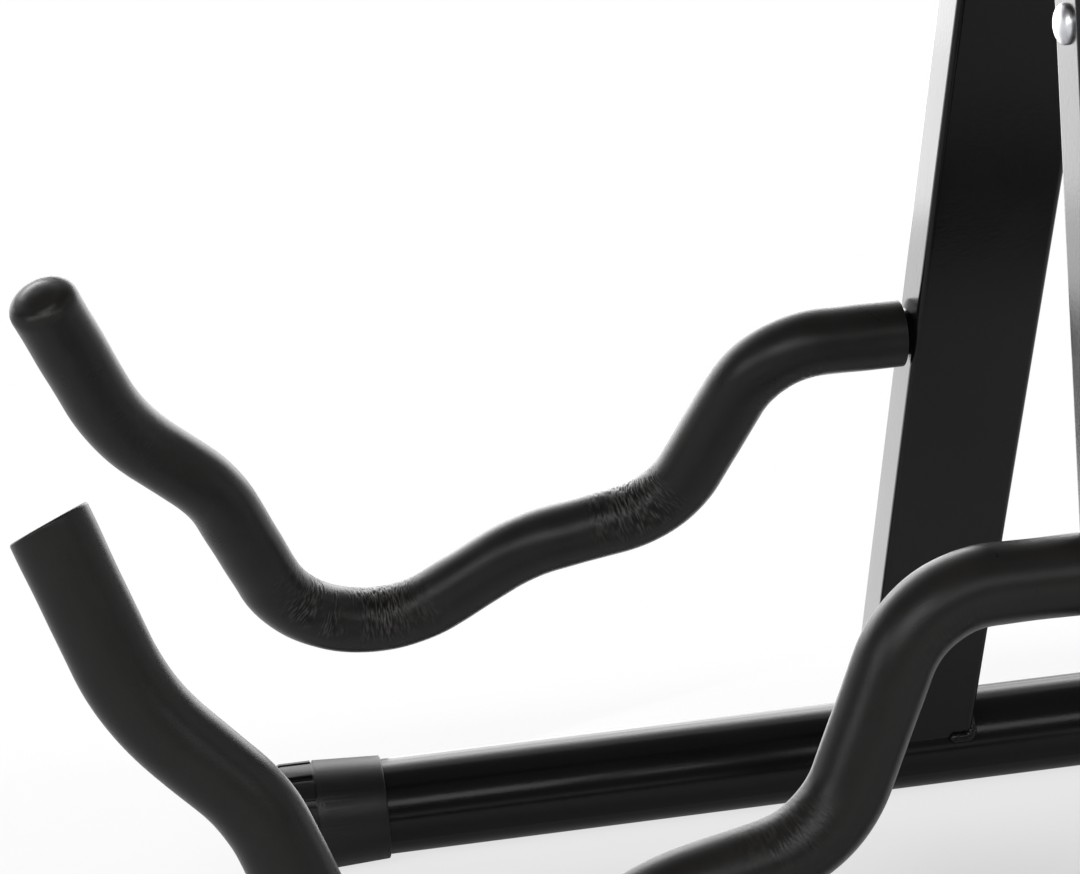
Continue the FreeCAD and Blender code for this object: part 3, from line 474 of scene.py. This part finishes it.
def rubber_material():
    """Matte moulded rubber."""
    return shaded("moulded_rubber", settings().finish.rubber, spread=0.25, grain=0.35 * MM, mottle=12 * MM,
                  bump=0.25, roughness=(0.33, 0.41), constants={"IOR": 1.34})


def plastic_material():
    """Fine-grained moulded plastic."""
    return shaded("moulded_plastic", settings().finish.plastic, spread=0.15, grain=0.25 * MM, mottle=15 * MM,
                  bump=0.2, roughness=(0.52, 0.62), constants={"IOR": 1.4})


def zinc_material():
    """Bright zinc plate with a cloudy tarnish."""
    return shaded("bright_zinc", settings().finish.zinc, spread=0.1, grain=0.2 * MM, mottle=5 * MM, bump=0.06,
                  roughness=(0.3, 0.42), constants={"Metallic": 1.0})


def foam_material():
    """Matte foam skin with fine pores, with painted shade in its creases and painted highlights on the ridges
    between them.
    """
    material = bpy.data.materials.get("foam_skin")
    if material:
        return material
    colour = settings().finish.foam
    material = shaded("foam_skin", colour, spread=0.2, grain=0.3 * MM, mottle=9 * MM, bump=0.3,
                      roughness=(0.27, 0.33), constants={"IOR": 1.26})
    tree = material.node_tree
    shader = tree.nodes["Principled BSDF"]
    skin = shader.inputs["Base Color"].links[0].from_socket
    # The crease mark darkens the colour as painted shade, and the ridge mark lightens it as a painted
    # highlight
    for name, strength in (("crease", PAINTED_CREASE_SHADE), ("ridge", PAINTED_RIDGE_HIGHLIGHT)):
        mark = add_node(tree, "ShaderNodeAttribute", attribute_name=name)
        skin = tint(tree, mark.outputs["Fac"], skin, scaled(colour, strength))
    tree.links.new(skin, shader.inputs["Base Color"])
    return material


# Foam sleeves on the arms

def arm_stretches(start, tip_run):
    """The arm's runs and bends in order, each with the matrix that carries a ring by a share of it."""
    corners = [Vector((0, -bend.out, bend.up)) for bend in ARM_BENDS]
    rise = Vector((0, -math.cos(ARM_TIP_RISE), math.sin(ARM_TIP_RISE)))
    points = [Vector((0, -start, ARM_BENDS[0].up)), *corners, corners[-1] + rise * tip_run]
    stretches = []
    here = points[0]
    spacing = RUN_SPACING
    for index, bend in enumerate(ARM_BENDS, 1):
        back = (points[index - 1] - points[index]).normalized()
        ahead = (points[index + 1] - points[index]).normalized()
        half = back.angle(ahead) / 2
        leaves = points[index] + back * (bend.radius / math.tan(half))
        centre = points[index] + (back + ahead).normalized() * (bend.radius / math.sin(half))
        turn = math.copysign(math.pi - 2 * half, back.cross(ahead).x * -1)
        stretches.append(straight(here, leaves, spacing))
        stretches.append(Stretch(bend.radius * abs(turn), bend.spacing, swing(centre, turn), turn,
                                 bend.creases, bend.shift))
        here = points[index] + ahead * (bend.radius / math.tan(half))
        spacing = CREASED_RUN_SPACING if bend.creases == 1 else RUN_SPACING
    stretches.append(straight(here, points[-1], spacing))
    return stretches


def straight(start, end, spacing):
    """A straight stretch of the arm."""
    run = end - start
    return Stretch(run.length, spacing, lambda share: Matrix.Translation(run * share), 0, 0, 0)


def swing(centre, turn):
    """What carries a ring by a share of a bend about its centre."""
    def move(share):
        spun = Matrix.Rotation(turn * share, 4, "X")
        return Matrix.Translation(centre) @ spun @ Matrix.Translation(-centre)
    return move


def mark_layers(bm):
    """Where a sleeve's creases and the ridges between them are noted, for painted shade in the creases and
    painted highlights on the ridges.
    """
    for name in ("crease", "ridge"):
        bm.verts.layers.float.new(name)
    return bm.verts.layers.float["crease"], bm.verts.layers.float["ridge"]


def sweep_tube(bm, radius, stretches, root, dent=None, spacing=None):
    """Sweep a circle along the arm, one stretch after another; gives the plane and the length it ends at."""
    plane = root
    place = 0
    for stretch in stretches:
        steps = max(1, math.ceil(stretch.length / (spacing or stretch.spacing)))
        move = stretch.move(1 / steps)
        part = bmesh.new()
        marks = mark_layers(part)
        verts = bmesh.ops.create_circle(part, segments=SLEEVE_SEGMENTS, radius=radius, matrix=plane)["verts"]
        ring = ring_edges(verts)
        rings = [(verts, plane, place)]
        for step in range(steps):
            ring, verts = extrude_ring(part, ring)
            bmesh.ops.transform(part, matrix=move, verts=verts)
            plane = move @ plane
            place += stretch.length / steps
            rings.append((verts, plane, place))
        if dent:
            for ring_made in rings:
                dent(*ring_made, marks)
        join_part(bm, part)
    return plane, place


def close_tip(bm, plane, place, dent, foam, tip):
    """Round the rim at the arm's tip, paint a highlight line on the rim of a tip that takes one, and close
    its slightly crowned end.
    """
    radius = foam.sleeve / 2
    flat = radius - tip.rim
    levels = [(flat + tip.rim * math.cos(turn), tip.rim * math.sin(turn))
              for turn in (math.pi / 2 * step / RIM_RINGS for step in range(1, RIM_RINGS + 1))]
    levels += [(flat * share, tip.rim + tip.crown * (1 - share ** 2)) for share in CROWN_RINGS]
    part = bmesh.new()
    marks = mark_layers(part)
    verts = bmesh.ops.create_circle(part, segments=SLEEVE_SEGMENTS, radius=radius)["verts"]
    dent(verts, Matrix(), place, marks)
    ring = ring_edges(verts)
    reach, level = radius, 0
    for number, (next_reach, next_level) in enumerate(levels):
        ring, verts = extrude_ring(part, ring)
        for vert in verts:
            turn = math.atan2(vert.co.y, vert.co.x)
            # A painted highlight line along one ring of the rim, set in the ridge mark; the shape is not
            # folded
            fold = clamp(HIGHLIGHT_BOLDNESS * (1 - abs(turn - HIGHLIGHT_TURN) / HIGHLIGHT_REACH))
            vert[marks[1]] = fold if tip.folded and number == HIGHLIGHT_RING else 0
        share = next_reach / reach
        bmesh.ops.scale(part, vec=(share, share, 1), verts=verts)
        bmesh.ops.translate(part, vec=(0, 0, next_level - level), verts=verts)
        reach, level = next_reach, next_level
    close_ring(part, ring)
    bmesh.ops.transform(part, matrix=plane, verts=part.verts)
    join_part(bm, part)


def lean_tip(bm, plane, tip, inwards):
    """Lean the tip's end, as a cut that isn't quite square leaves it."""
    back = plane.inverted()
    for vert in bm.verts:
        flat = back @ vert.co
        share = clamp(1 + flat.z / TIP_LEAN_LENGTH)
        if share > 0 and abs(flat.z) < TIP_LEAN_LENGTH:
            rise = flat.y * math.tan(tip.lean_back) - flat.x * inwards * math.tan(tip.lean_in)
            vert.co = plane @ (flat + Vector((0, 0, rise * share)))


def clamp(value):
    """Hold a value between 0 and 1."""
    return max(0.0, min(1.0, value))


def squeeze(stretches, place):
    """How strongly a bend squeezes the foam at a place along the arm; its sign tells the side."""
    passed = 0
    strength = 0
    for stretch in stretches:
        if stretch.creases:
            share = (place - passed) / stretch.length - stretch.shift
            ends = clamp((min(share, 1 - share) + CREASE_OVERRUN) / CREASE_FADE)
            strength += math.copysign(stretch.creases * ends, stretch.turn)
        passed += stretch.length
    return strength


def creased(stretches, foam, side):
    """What presses creases into the inner side of the bends, marks them for painted shade and their ridges
    for painted highlights, and makes the whole sleeve a little uneven.
    """
    radius = foam.sleeve / 2
    seed = SIDES[side] * CREASE_SEED

    def dent(verts, plane, place, marks):
        crease, ridge = marks
        back = plane.inverted()
        pressed = squeeze(stretches, place) * CREASED[side]
        for vert in verts:
            flat = back @ vert.co
            inwards = flat.y / -radius * math.copysign(1, pressed)
            strength = abs(pressed) * clamp((inwards + INNER_START) / INNER_FADE)
            spot = 2 * Vector((place / foam.crease_pitch + seed, flat.x / foam.crease_length,
                               flat.y / foam.crease_length))
            depth = foam.unevenness * noise.noise(spot * SWELL_SCALE)
            if strength > 0:
                fold = noise.noise(spot)
                strength *= clamp(PATCH_MIDDLE + PATCH_SWING * noise.noise(spot * PATCH_SCALE + PATCH_PLACE))
                line = clamp((CREASE_LEVEL - fold) / CREASE_SPAN)
                crest = clamp((fold - RIDGE_LEVEL) / RIDGE_SPAN)
                depth += foam.crease_depth * strength * (line - RIDGE_HEIGHT * crest)
                # Painted shade in the crease and a painted highlight on the ridge, as marks for the foam's
                # colour
                vert[crease] = clamp(strength * line)
                vert[ridge] = clamp(strength * crest)
            vert.co = plane @ (flat * (1 - depth / radius))
    return dent


def make_sleeve(side, foam):
    """Foam sleeve with its bore, cut flat at the leg and closed at the tip."""
    bm = bmesh.new()
    root = Matrix.Translation((0, -foam.root_gap, ARM_BENDS[0].up)) @ Matrix.Rotation(math.pi / 2, 4, "X")
    tip = TIPS[side]
    stretches = arm_stretches(foam.root_gap, tip.run - tip.rim - tip.crown)
    dent = creased(stretches, foam, side)
    plane, place = sweep_tube(bm, foam.sleeve / 2, stretches, root, dent)
    close_tip(bm, plane, place, dent, foam, tip)
    lean_tip(bm, plane, tip, SIDES[side])
    bore = arm_stretches(foam.root_gap, ROD_TIP_RUN)
    plane = sweep_tube(bm, foam.bore / 2, bore, root, spacing=BORE_SPACING)[0]
    bmesh.ops.create_circle(bm, cap_ends=True, segments=SLEEVE_SEGMENTS, radius=foam.bore / 2, matrix=plane)
    bmesh.ops.remove_doubles(bm, verts=bm.verts, dist=SLEEVE_MERGE)
    bmesh.ops.bridge_loops(bm, edges=[edge for edge in bm.edges if edge.is_boundary])
    bmesh.ops.recalc_face_normals(bm, faces=bm.faces)
    sleeve = finish_on_frame(side, "foam_sleeve", bm, SLEEVE_SHARP, foam_material(), "arm_foam")


class GUITARSTAND_OT_foam_sleeves(bpy.types.Operator):
    """Foam sleeves on both arms, creased inside their bends"""
    bl_idname = "guitar_stand.foam_sleeves"
    bl_label = "Foam Sleeves"

    def execute(self, context):
        for side in SIDES:
            make_sleeve(side, settings().foam)
        return {"FINISHED"}


# Back cushions near the legs' tops

def make_cushion(side, foam):
    """Foam pad on the leg's front, crowned and drawn in towards the leg."""
    bm = bmesh.new()
    bm.from_mesh(frame["nodes"][f"{side}_back_pad"].data)
    bmesh.ops.transform(bm, matrix=side_frame(side).inverted(), verts=bm.verts)
    low = Vector([min(vert.co[axis] for vert in bm.verts) for axis in range(3)])
    high = Vector([max(vert.co[axis] for vert in bm.verts) for axis in range(3)])
    bm.clear()
    size = high - low
    middle = (low + high) / 2
    bmesh.ops.create_cube(bm, size=1, matrix=Matrix.Translation(middle) @ Matrix.Diagonal((*size, 1)))
    tall = [edge for edge in bm.edges if abs(edge.verts[0].co.y - edge.verts[1].co.y) > size.y / 2]
    round_edges(bm, tall, size.x * CUSHION_CORNER, segments=6)
    front = [edge for edge in bm.edges if all(vert.co.y < low.y + ON_PLANE for vert in edge.verts)]
    round_edges(bm, front, CUSHION_EDGE, segments=5)
    bmesh.ops.triangulate(bm, faces=[face for face in bm.faces if len(face.verts) > 4])
    long_edges = [edge for edge in bm.edges if edge.calc_length() > CUSHION_GRID]
    bmesh.ops.subdivide_edges(bm, edges=long_edges, cuts=3, use_grid_fill=True)
    for vert in bm.verts:
        rise = (high.y - vert.co.y) / size.y
        across = 1 - (2 * (vert.co.x - middle.x) / size.x) ** 2
        tall_share = 1 - (2 * (vert.co.z - middle.z) / size.z) ** 4
        vert.co.y += foam.pad_crown * rise * (1 - clamp(across) * clamp(tall_share))
        waist = 1 - CUSHION_WAIST * math.sin(math.pi * clamp(rise)) * (1 - rise)
        vert.co.x = middle.x + (vert.co.x - middle.x) * waist
    free = [vert for vert in bm.verts if vert.co.y < high.y - CUSHION_SEAT]
    bmesh.ops.smooth_vert(bm, verts=free, factor=0.5, use_axis_x=True, use_axis_y=True, use_axis_z=True)
    bmesh.ops.recalc_face_normals(bm, faces=bm.faces)
    cushion = finish_on_frame(side, "back_cushion", bm, CUSHION_SHARP, foam_material(),
                              "back_pad")


class GUITARSTAND_OT_back_cushions(bpy.types.Operator):
    """Foam cushions that the guitar's back leans on"""
    bl_idname = "guitar_stand.back_cushions"
    bl_label = "Back Cushions"

    def execute(self, context):
        for side in SIDES:
            make_cushion(side, settings().foam)
        return {"FINISHED"}


# Softened copies of the moulded and pressed pieces

class GUITARSTAND_OT_moulded_pieces(bpy.types.Operator):
    """Rubber foot caps and plastic top plugs with rounded edges"""
    bl_idname = "guitar_stand.moulded_pieces"
    bl_label = "Foot Caps and Top Plugs"

    def execute(self, context):
        for side in SIDES:
            for end in ("front", "rear"):
                finish_piece(f"{side}_{end}_foot_cap", softened(f"{side}_{end}_cap", CAP_EDGE),
                             [rubber_material()], f"{side}_frame", [f"{side}_{end}_cap"])
            finish_piece(f"{side}_leg_plug", softened(f"{side}_top_plug", PLUG_EDGE), [plastic_material()],
                         f"{side}_frame", [f"{side}_top_plug"])
        return {"FINISHED"}


class GUITARSTAND_OT_painted_steel(bpy.types.Operator):
    """Powder coat on tubes, rods, hinge and hook bar"""
    bl_idname = "guitar_stand.painted_steel"
    bl_label = "Painted Steel"

    def execute(self, context):
        paint = paint_material()
        for side in SIDES:
            for name in ("leg", "foot_tube", "arm_rod", "arm_weld"):
                dress(f"{side}_{name}", paint)
        pressed = {"hinge_fork": "left_frame", "hinge_eye": "right_frame", "hook_bar": "stay"}
        for node, body in pressed.items():
            finish_piece(f"painted_{node}", softened(node, STEEL_EDGE), [paint], body, [node])
        dress("hinge_bush", plastic_material())
        dress("hinge_thrust_washers", plastic_material())
        return {"FINISHED"}


def dress(node, material):
    """Give a CAD node a finish."""
    for slot in frame["nodes"][node].material_slots:
        slot.material = material


# Fasteners

def ring_profile(inner, outer, low, high, edge):
    """Section of a washer or sleeve with rounded outer edges."""
    return [(inner, low), *arc((outer - edge, low + edge), edge, -90, 0),
            *arc((outer - edge, high - edge), edge, 0, 90), (inner, high), (inner, low)]


def thread_profile(radius, start, end, pitch):
    """A shank's thread from one height down to another, with a chamfered end."""
    points = []
    turns = int((start - end - pitch) / pitch)
    for turn in range(turns):
        points += [(radius, start - turn * pitch),
                   (radius - THREAD_DEPTH * pitch, start - (turn + 0.5) * pitch)]
    return points + [(radius, start - turns * pitch), (radius - THREAD_CHAMFER * pitch, end), (0, end)]


def hex_profile(corner, low, high, chamfer):
    """Outer section of a hexagon's corner circle with chamfered ends."""
    rise = chamfer / 2
    return [(corner - chamfer, low), (corner - chamfer / 2, low + rise / 2), (corner, low + rise),
            (corner, high - rise), (corner - chamfer / 2, high - rise / 2), (corner - chamfer, high)]


def cut_flats(bm, flats, low, high):
    """Press the turned corner circle between two heights in to a hexagon's flats."""
    for vert in bm.verts:
        reach = vert.co.xy.length
        if low - ON_PLANE < vert.co.z < high + ON_PLANE and reach > flats / 2:
            turn = math.atan2(vert.co.y, vert.co.x) % (math.pi / 3) - math.pi / 6
            vert.co.xy *= min(1, flats / 2 / math.cos(turn) / reach)


def along_depth(node, depth, turn=0):
    """Axes on a fastener's centre line at a depth, with Z to the front."""
    low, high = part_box(node)
    middle = (low + high) / 2
    return Matrix.Translation((middle.x, depth, middle.z)) @ Matrix.Rotation(turn, 4, "Y") @ \
        Matrix.Rotation(math.pi / 2, 4, "X")


def finish_fastener(node, bm, matrix, body, materials):
    """Put a turned fastener in its place, in its node's stead."""
    shade(bm)
    bmesh.ops.transform(bm, matrix=matrix, verts=bm.verts)
    finish_piece(f"zinc_{node}", bm, materials, body, [node])


def make_domed_bolt(node, body, leg):
    """Bolt with a low domed head on the leg's front and a thread behind it."""
    low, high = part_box(node)
    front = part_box(leg)[0].y
    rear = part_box(leg)[1].y
    radius = (high.z - low.z) / 2
    dome = front - low.y
    head = [(radius * math.sin(turn), DOME_RIM + (dome - DOME_RIM) * math.cos(turn))
            for turn in (math.pi / 2 * step / DOME_RINGS for step in range(DOME_RINGS + 1))]
    thread = thread_profile(BOLT_RADIUS, front - rear, front - high.y, BOLT_PITCH)
    bm = bmesh.new()
    lathe(bm, [*head, (radius, 0), (BOLT_RADIUS, 0), *thread])
    finish_fastener(node, bm, along_depth(node, front), body, [zinc_material()])


def make_lock_nut(node, body, bore, turn):
    """Hexagon nut with a collar that holds a black nylon ring."""
    low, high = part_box(node)
    height = high.y - low.y
    flats = NUT_FLATS[node]
    corner = flats / math.sqrt(3)
    body_high = height * NUT_BODY
    collar = flats * NUT_COLLAR
    ring = bore + (collar - bore) * NYLON_SHARE
    nylon = height - NYLON_SINK
    bm = bmesh.new()
    lathe(bm, [(bore, 0), *hex_profile(corner, 0, body_high, flats * HEX_CHAMFER),
               (collar, body_high + COLLAR_STEP),
               *arc((collar - COLLAR_EDGE, height - COLLAR_EDGE), COLLAR_EDGE, 0, 80),
               (ring, nylon), (bore, nylon), (bore, 0)], HEX_STEPS)
    cut_flats(bm, flats, 0, body_high)
    for face in bm.faces:
        middle = face.calc_center_median()
        if middle.z > nylon - ON_PLANE and middle.xy.length < ring:
            face.material_index = 1
    rearward = along_depth(node, low.y, turn) @ Matrix.Rotation(math.pi, 4, "X")
    finish_fastener(node, bm, rearward, body, [zinc_material(), plastic_material()])


def make_hinge_bolt(turn):
    """Hexagon bolt through the hinge, with its head to the front."""
    low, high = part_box("hinge_bolt")
    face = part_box("hinge_fork")[0].y
    head = face - low.y
    flats = NUT_FLATS["hinge_nut"]
    outside = hex_profile(flats / math.sqrt(3), 0, head, flats * HEX_CHAMFER)
    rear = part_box("hinge_fork")[1].y
    thread = thread_profile(HINGE_BOLT_RADIUS, face - rear, face - high.y, HINGE_BOLT_PITCH)
    bm = bmesh.new()
    lathe(bm, [(0, head - DISH_DEPTH), (flats * DISH_FLOOR, head - DISH_DEPTH), (flats * DISH_RIM, head),
               *reversed(outside), (HINGE_BOLT_RADIUS, 0), *thread], HEX_STEPS)
    cut_flats(bm, flats, 0, head)
    finish_fastener("hinge_bolt", bm, along_depth("hinge_bolt", face, turn), "left_frame", [zinc_material()])


def make_rings(node, body, bore, edge, thick=None):
    """A ring as deep as its node on a bolt, or a thinner one at each end of that depth."""
    low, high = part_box(node)
    outer = (high.z - low.z) / 2
    depth = high.y - low.y
    spans = [(0, thick), (depth - thick, depth)] if thick else [(0, depth)]
    bm = bmesh.new()
    for start, end in spans:
        part = bmesh.new()
        lathe(part, ring_profile(bore, outer, -end, -start, edge))
        join_part(bm, part)
    finish_fastener(node, bm, along_depth(node, low.y), body, [zinc_material()])


class GUITARSTAND_OT_fasteners(bpy.types.Operator):
    """Zinc bolts, lock nuts, washers and the latch sleeve"""
    bl_idname = "guitar_stand.fasteners"
    bl_label = "Fasteners"

    def execute(self, context):
        bore = BOLT_RADIUS + BOLT_FIT
        make_domed_bolt("stay_bolt", "left_frame", "left_leg")
        make_domed_bolt("latch_bolt", "right_frame", "right_leg")
        make_lock_nut("stay_nut", "left_frame", bore, LEAN)
        make_lock_nut("latch_nut", "right_frame", bore, -LEAN)
        make_lock_nut("hinge_nut", "left_frame", HINGE_BOLT_RADIUS + BOLT_FIT, LEAN)
        make_hinge_bolt(LEAN)
        low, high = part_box("latch_washer")
        make_rings("stay_washers", "left_frame", bore, WASHER_EDGE, thick=high.y - low.y)
        make_rings("latch_sleeve", "right_frame", bore, LATCH_EDGE)
        make_rings("latch_washer", "right_frame", bore, WASHER_EDGE)
        return {"FINISHED"}


# Weld beads at the legs' feet

def weld_path(end, leg_width, tube_radius, tube_axis):
    """Points of a bead from one side of the leg round its front or rear face to the other side."""
    half, corner, reach = LEG_THICK / 2, LEG_CORNER, BEAD_REACH
    sign, face = (-1, 0) if end == "front" else (1, leg_width)
    inner = half - corner
    runs = [(reach - corner, lambda run: (half, face - sign * (reach - run))),
            (corner * math.pi / 2, lambda run: (inner + corner * math.cos(run / corner),
                                                face - sign * corner * (1 - math.sin(run / corner)))),
            (inner, lambda run: (inner - run, face))]
    points = []
    for length, spot in runs:
        steps = max(2, round(length / BEAD_STEP))
        points += [spot(length * step / steps) for step in range(steps)]
    points += [(0, face)] + [(-x, y) for x, y in reversed(points)]
    return [Vector((x, y, math.sqrt(tube_radius ** 2 - (x - tube_axis) ** 2))) for x, y in points]


def add_bead(bm, points, seed):
    """A rippled bead along a path, tapered to its ends."""
    part = bmesh.new()
    frames = []
    place = 0
    total = sum((after - before).length for before, after in zip(points, points[1:]))
    for index, point in enumerate(points):
        before, after = points[max(index - 1, 0)], points[min(index + 1, len(points) - 1)]
        place += (point - before).length if index else 0
        ripple = RIPPLE_SHARE * abs(math.sin(math.pi * place / RIPPLE_PITCH))
        wander = WANDER_SHARE * noise.noise((place / WANDER_LENGTH, seed, 0))
        taper = math.sqrt(clamp(min(place, total - place) / TAPER_LENGTH) * (1 - TAPER_END) + TAPER_END)
        turn = (after - before).to_track_quat("Z", "Y").to_matrix().to_4x4()
        frames.append(Matrix.Translation(point) @ turn @ Matrix.Scale((1 + ripple + wander) * taper, 4))
    first = bmesh.ops.create_circle(part, segments=BEAD_SEGMENTS, radius=BEAD_RADIUS, matrix=frames[0])
    ring = ring_edges(first["verts"])
    bmesh.ops.contextual_create(part, geom=ring)
    for before, after in zip(frames, frames[1:]):
        ring, verts = extrude_ring(part, ring)
        bmesh.ops.transform(part, matrix=after @ before.inverted(), verts=verts)
    close_ring(part, ring)
    bmesh.ops.recalc_face_normals(part, faces=part.faces)
    join_part(bm, part)


class GUITARSTAND_OT_foot_welds(bpy.types.Operator):
    """Rippled weld beads between the legs and their foot tubes"""
    bl_idname = "guitar_stand.foot_welds"
    bl_label = "Foot Welds"

    def execute(self, context):
        low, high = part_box("left_foot_tube")
        radius = (high.z - low.z) / 2
        leg_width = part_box("left_leg")[1].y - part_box("left_leg")[0].y
        for side in SIDES:
            bm = bmesh.new()
            for index, end in enumerate(("front", "rear")):
                path = weld_path(end, leg_width, radius + BEAD_LIFT, -SIDES[side] * LEG_INSET)
                add_bead(bm, path, SIDES[side] * WANDER_SEED + index)
            finish_on_frame(side, "foot_weld", bm, BEAD_SHARP, paint_material(), "leg_weld")
        return {"FINISHED"}


# Stage

def add_softbox(softbox):
    """A flat soft light at its place, facing its target."""
    lamp = bpy.data.lights.new(softbox.name, "AREA")
    lamp.shape = "RECTANGLE"
    lamp.size = softbox.width
    lamp.size_y = softbox.height
    lamp.energy = softbox.radiance * math.pi * softbox.width * softbox.height
    lamp.spread = softbox.spread
    light = bpy.data.objects.new(softbox.name, lamp)
    bpy.context.scene.collection.objects.link(light)
    aim = (Vector(softbox.target) - Vector(softbox.place)).to_track_quat("-Z", "Y")
    light.matrix_world = Matrix.Translation(softbox.place) @ aim.to_matrix().to_4x4()


def add_camera(studio):
    """The camera at the photograph's viewing angle."""
    turn = Matrix.Rotation(studio.azimuth, 4, "Z")
    tilt = Matrix.Rotation(math.pi / 2 - studio.elevation, 4, "X")
    roll = Matrix.Rotation(studio.roll, 4, "Z")
    data = bpy.data.cameras.new("camera")
    data.lens = studio.lens
    data.sensor_width = 36
    data.sensor_fit = "HORIZONTAL"
    data.clip_start = 0.01
    data.clip_end = 50
    camera = bpy.data.objects.new("camera", data)
    bpy.context.scene.collection.objects.link(camera)
    camera.matrix_world = Matrix.Translation(studio.place) @ turn @ tilt @ roll
    bpy.context.scene.camera = camera


def ramp(tree, value, start, end, top=1.0):
    """A smooth rise from 0 at one value to a top at another."""
    rise = add_node(tree, "ShaderNodeMapRange",
                    [("Value", value), ("From Min", start), ("From Max", end), ("To Max", top)],
                    interpolation_type="SMOOTHSTEP")
    return rise.outputs["Result"]


def larger(tree, first, second):
    """The larger of two values."""
    return add_node(tree, "ShaderNodeMath", [(0, first), (1, second)], operation="MAXIMUM").outputs[0]


def product(tree, first, second):
    """Two values multiplied."""
    return add_node(tree, "ShaderNodeMath", [(0, first), (1, second)], operation="MULTIPLY").outputs[0]


def seen_rays(tree):
    """1 for rays that show a surface to the camera straight on, and 1 for those through gloss and glass."""
    rays = add_node(tree, "ShaderNodeLightPath").outputs
    return rays["Is Camera Ray"], larger(tree, rays["Is Glossy Ray"], rays["Is Transmission Ray"])


def floor_material(studio):
    """Pale floor that keeps the stand's shadow and turns white beyond and away from it; beside the left foot
    a share of white that only the camera sees is painted light over that shadow.
    """
    material = bpy.data.materials.new("pale_floor")
    material.use_nodes = True
    tree = material.node_tree
    tree.nodes.clear()
    place = add_node(tree, "ShaderNodeTexCoord").outputs["Object"]
    reach = add_node(tree, "ShaderNodeVectorMath", [(0, place)], operation="LENGTH").outputs["Value"]
    across = add_node(tree, "ShaderNodeSeparateXYZ", [(0, place)]).outputs["X"]
    straight_on, mirrored = seen_rays(tree)
    beyond = larger(tree, ramp(tree, reach, *FAR_WHITE), ramp(tree, across, *LEFT_WHITE))
    # Beside the left foot, a share of white for the camera alone is painted light over the stand's shadow
    shown = larger(tree, product(tree, beyond, larger(tree, straight_on, mirrored)),
                   product(tree, ramp(tree, across, *NEAR_PAINTED_LIGHT_RAMP, NEAR_PAINTED_LIGHT_SHARE), straight_on))
    plain = add_node(tree, "ShaderNodeBsdfDiffuse", [("Color", (*studio.floor, 1))])
    white = add_node(tree, "ShaderNodeEmission", [("Strength", 1.0)])
    both = add_node(tree, "ShaderNodeMixShader", [(0, shown), (1, plain.outputs[0]), (2, white.outputs[0])])
    add_node(tree, "ShaderNodeOutputMaterial", [("Surface", both.outputs[0])])
    return material


def set_world():
    """White to the camera, white low down and dim overhead in gloss, and a dim fill on everything else."""
    world = bpy.data.worlds.new("studio")
    bpy.context.scene.world = world
    world.use_nodes = True
    tree = world.node_tree
    background = tree.nodes["Background"]
    background.inputs["Color"].default_value = (1, 1, 1, 1)
    direction = add_node(tree, "ShaderNodeTexCoord").outputs["Generated"]
    height = add_node(tree, "ShaderNodeSeparateXYZ", [(0, direction)]).outputs["Z"]
    straight_on, mirrored = seen_rays(tree)
    low_down = product(tree, mirrored, ramp(tree, height, *SKYLINE))
    strength = add_node(tree, "ShaderNodeMapRange", [("Value", larger(tree, straight_on, low_down)),
                                                     ("To Min", WORLD_FILL), ("To Max", 1.0)])
    tree.links.new(strength.outputs["Result"], background.inputs["Strength"])


class GUITARSTAND_OT_stage(bpy.types.Operator):
    """Pale floor, soft light and the camera"""
    bl_idname = "guitar_stand.stage"
    bl_label = "Stage"

    def execute(self, context):
        studio = settings().studio
        bm = bmesh.new()
        bmesh.ops.create_grid(bm, x_segments=1, y_segments=1, size=FLOOR_HALF)
        mesh = bpy.data.meshes.new("floor")
        bm.to_mesh(mesh)
        bm.free()
        mesh.materials.append(floor_material(studio))
        floor = bpy.data.objects.new("floor", mesh)
        context.scene.collection.objects.link(floor)
        set_world()
        for softbox in SOFTBOXES:
            add_softbox(softbox)
        add_camera(studio)
        context.scene.view_settings.view_transform = "Standard"
        return {"FINISHED"}


class GUITARSTAND_PT_pieces(bpy.types.Panel):
    """Lists what makes up the stand"""
    bl_idname = "GUITARSTAND_PT_pieces"
    bl_label = "Guitar Stand"
    bl_space_type = "VIEW_3D"
    bl_region_type = "UI"
    bl_category = "Guitar Stand"

    def draw(self, context):
        stand = settings()
        for group in (stand.foam, stand.finish, stand.studio):
            box = self.layout.box()
            for name in group.bl_rna.properties.keys():
                if name not in ("rna_type", "name"):
                    box.prop(group, name)
        for operator in OPERATORS:
            self.layout.operator(operator.bl_idname)


GROUPS = (StandFoam, StandFinish, StandStudio, StandSettings)
OPERATORS = (
    GUITARSTAND_OT_painted_steel,
    GUITARSTAND_OT_foam_sleeves,
    GUITARSTAND_OT_back_cushions,
    GUITARSTAND_OT_moulded_pieces,
    GUITARSTAND_OT_fasteners,
    GUITARSTAND_OT_foot_welds,
    GUITARSTAND_OT_stage,
)
CLASSES = (*GROUPS, *OPERATORS, GUITARSTAND_PT_pieces)


def register():
    for item in CLASSES:
        bpy.utils.register_class(item)
    bpy.types.Scene.guitar_stand = PointerProperty(type=StandSettings)


def unregister():
    del bpy.types.Scene.guitar_stand
    for item in reversed(CLASSES):
        bpy.utils.unregister_class(item)


def main():
    register()
    bpy.ops.guitar_stand.painted_steel()
    bpy.ops.guitar_stand.foam_sleeves()
    bpy.ops.guitar_stand.back_cushions()
    bpy.ops.guitar_stand.moulded_pieces()
    bpy.ops.guitar_stand.fasteners()
    bpy.ops.guitar_stand.foot_welds()
    bpy.ops.guitar_stand.stage()


if __name__ == "__main__":
    main()
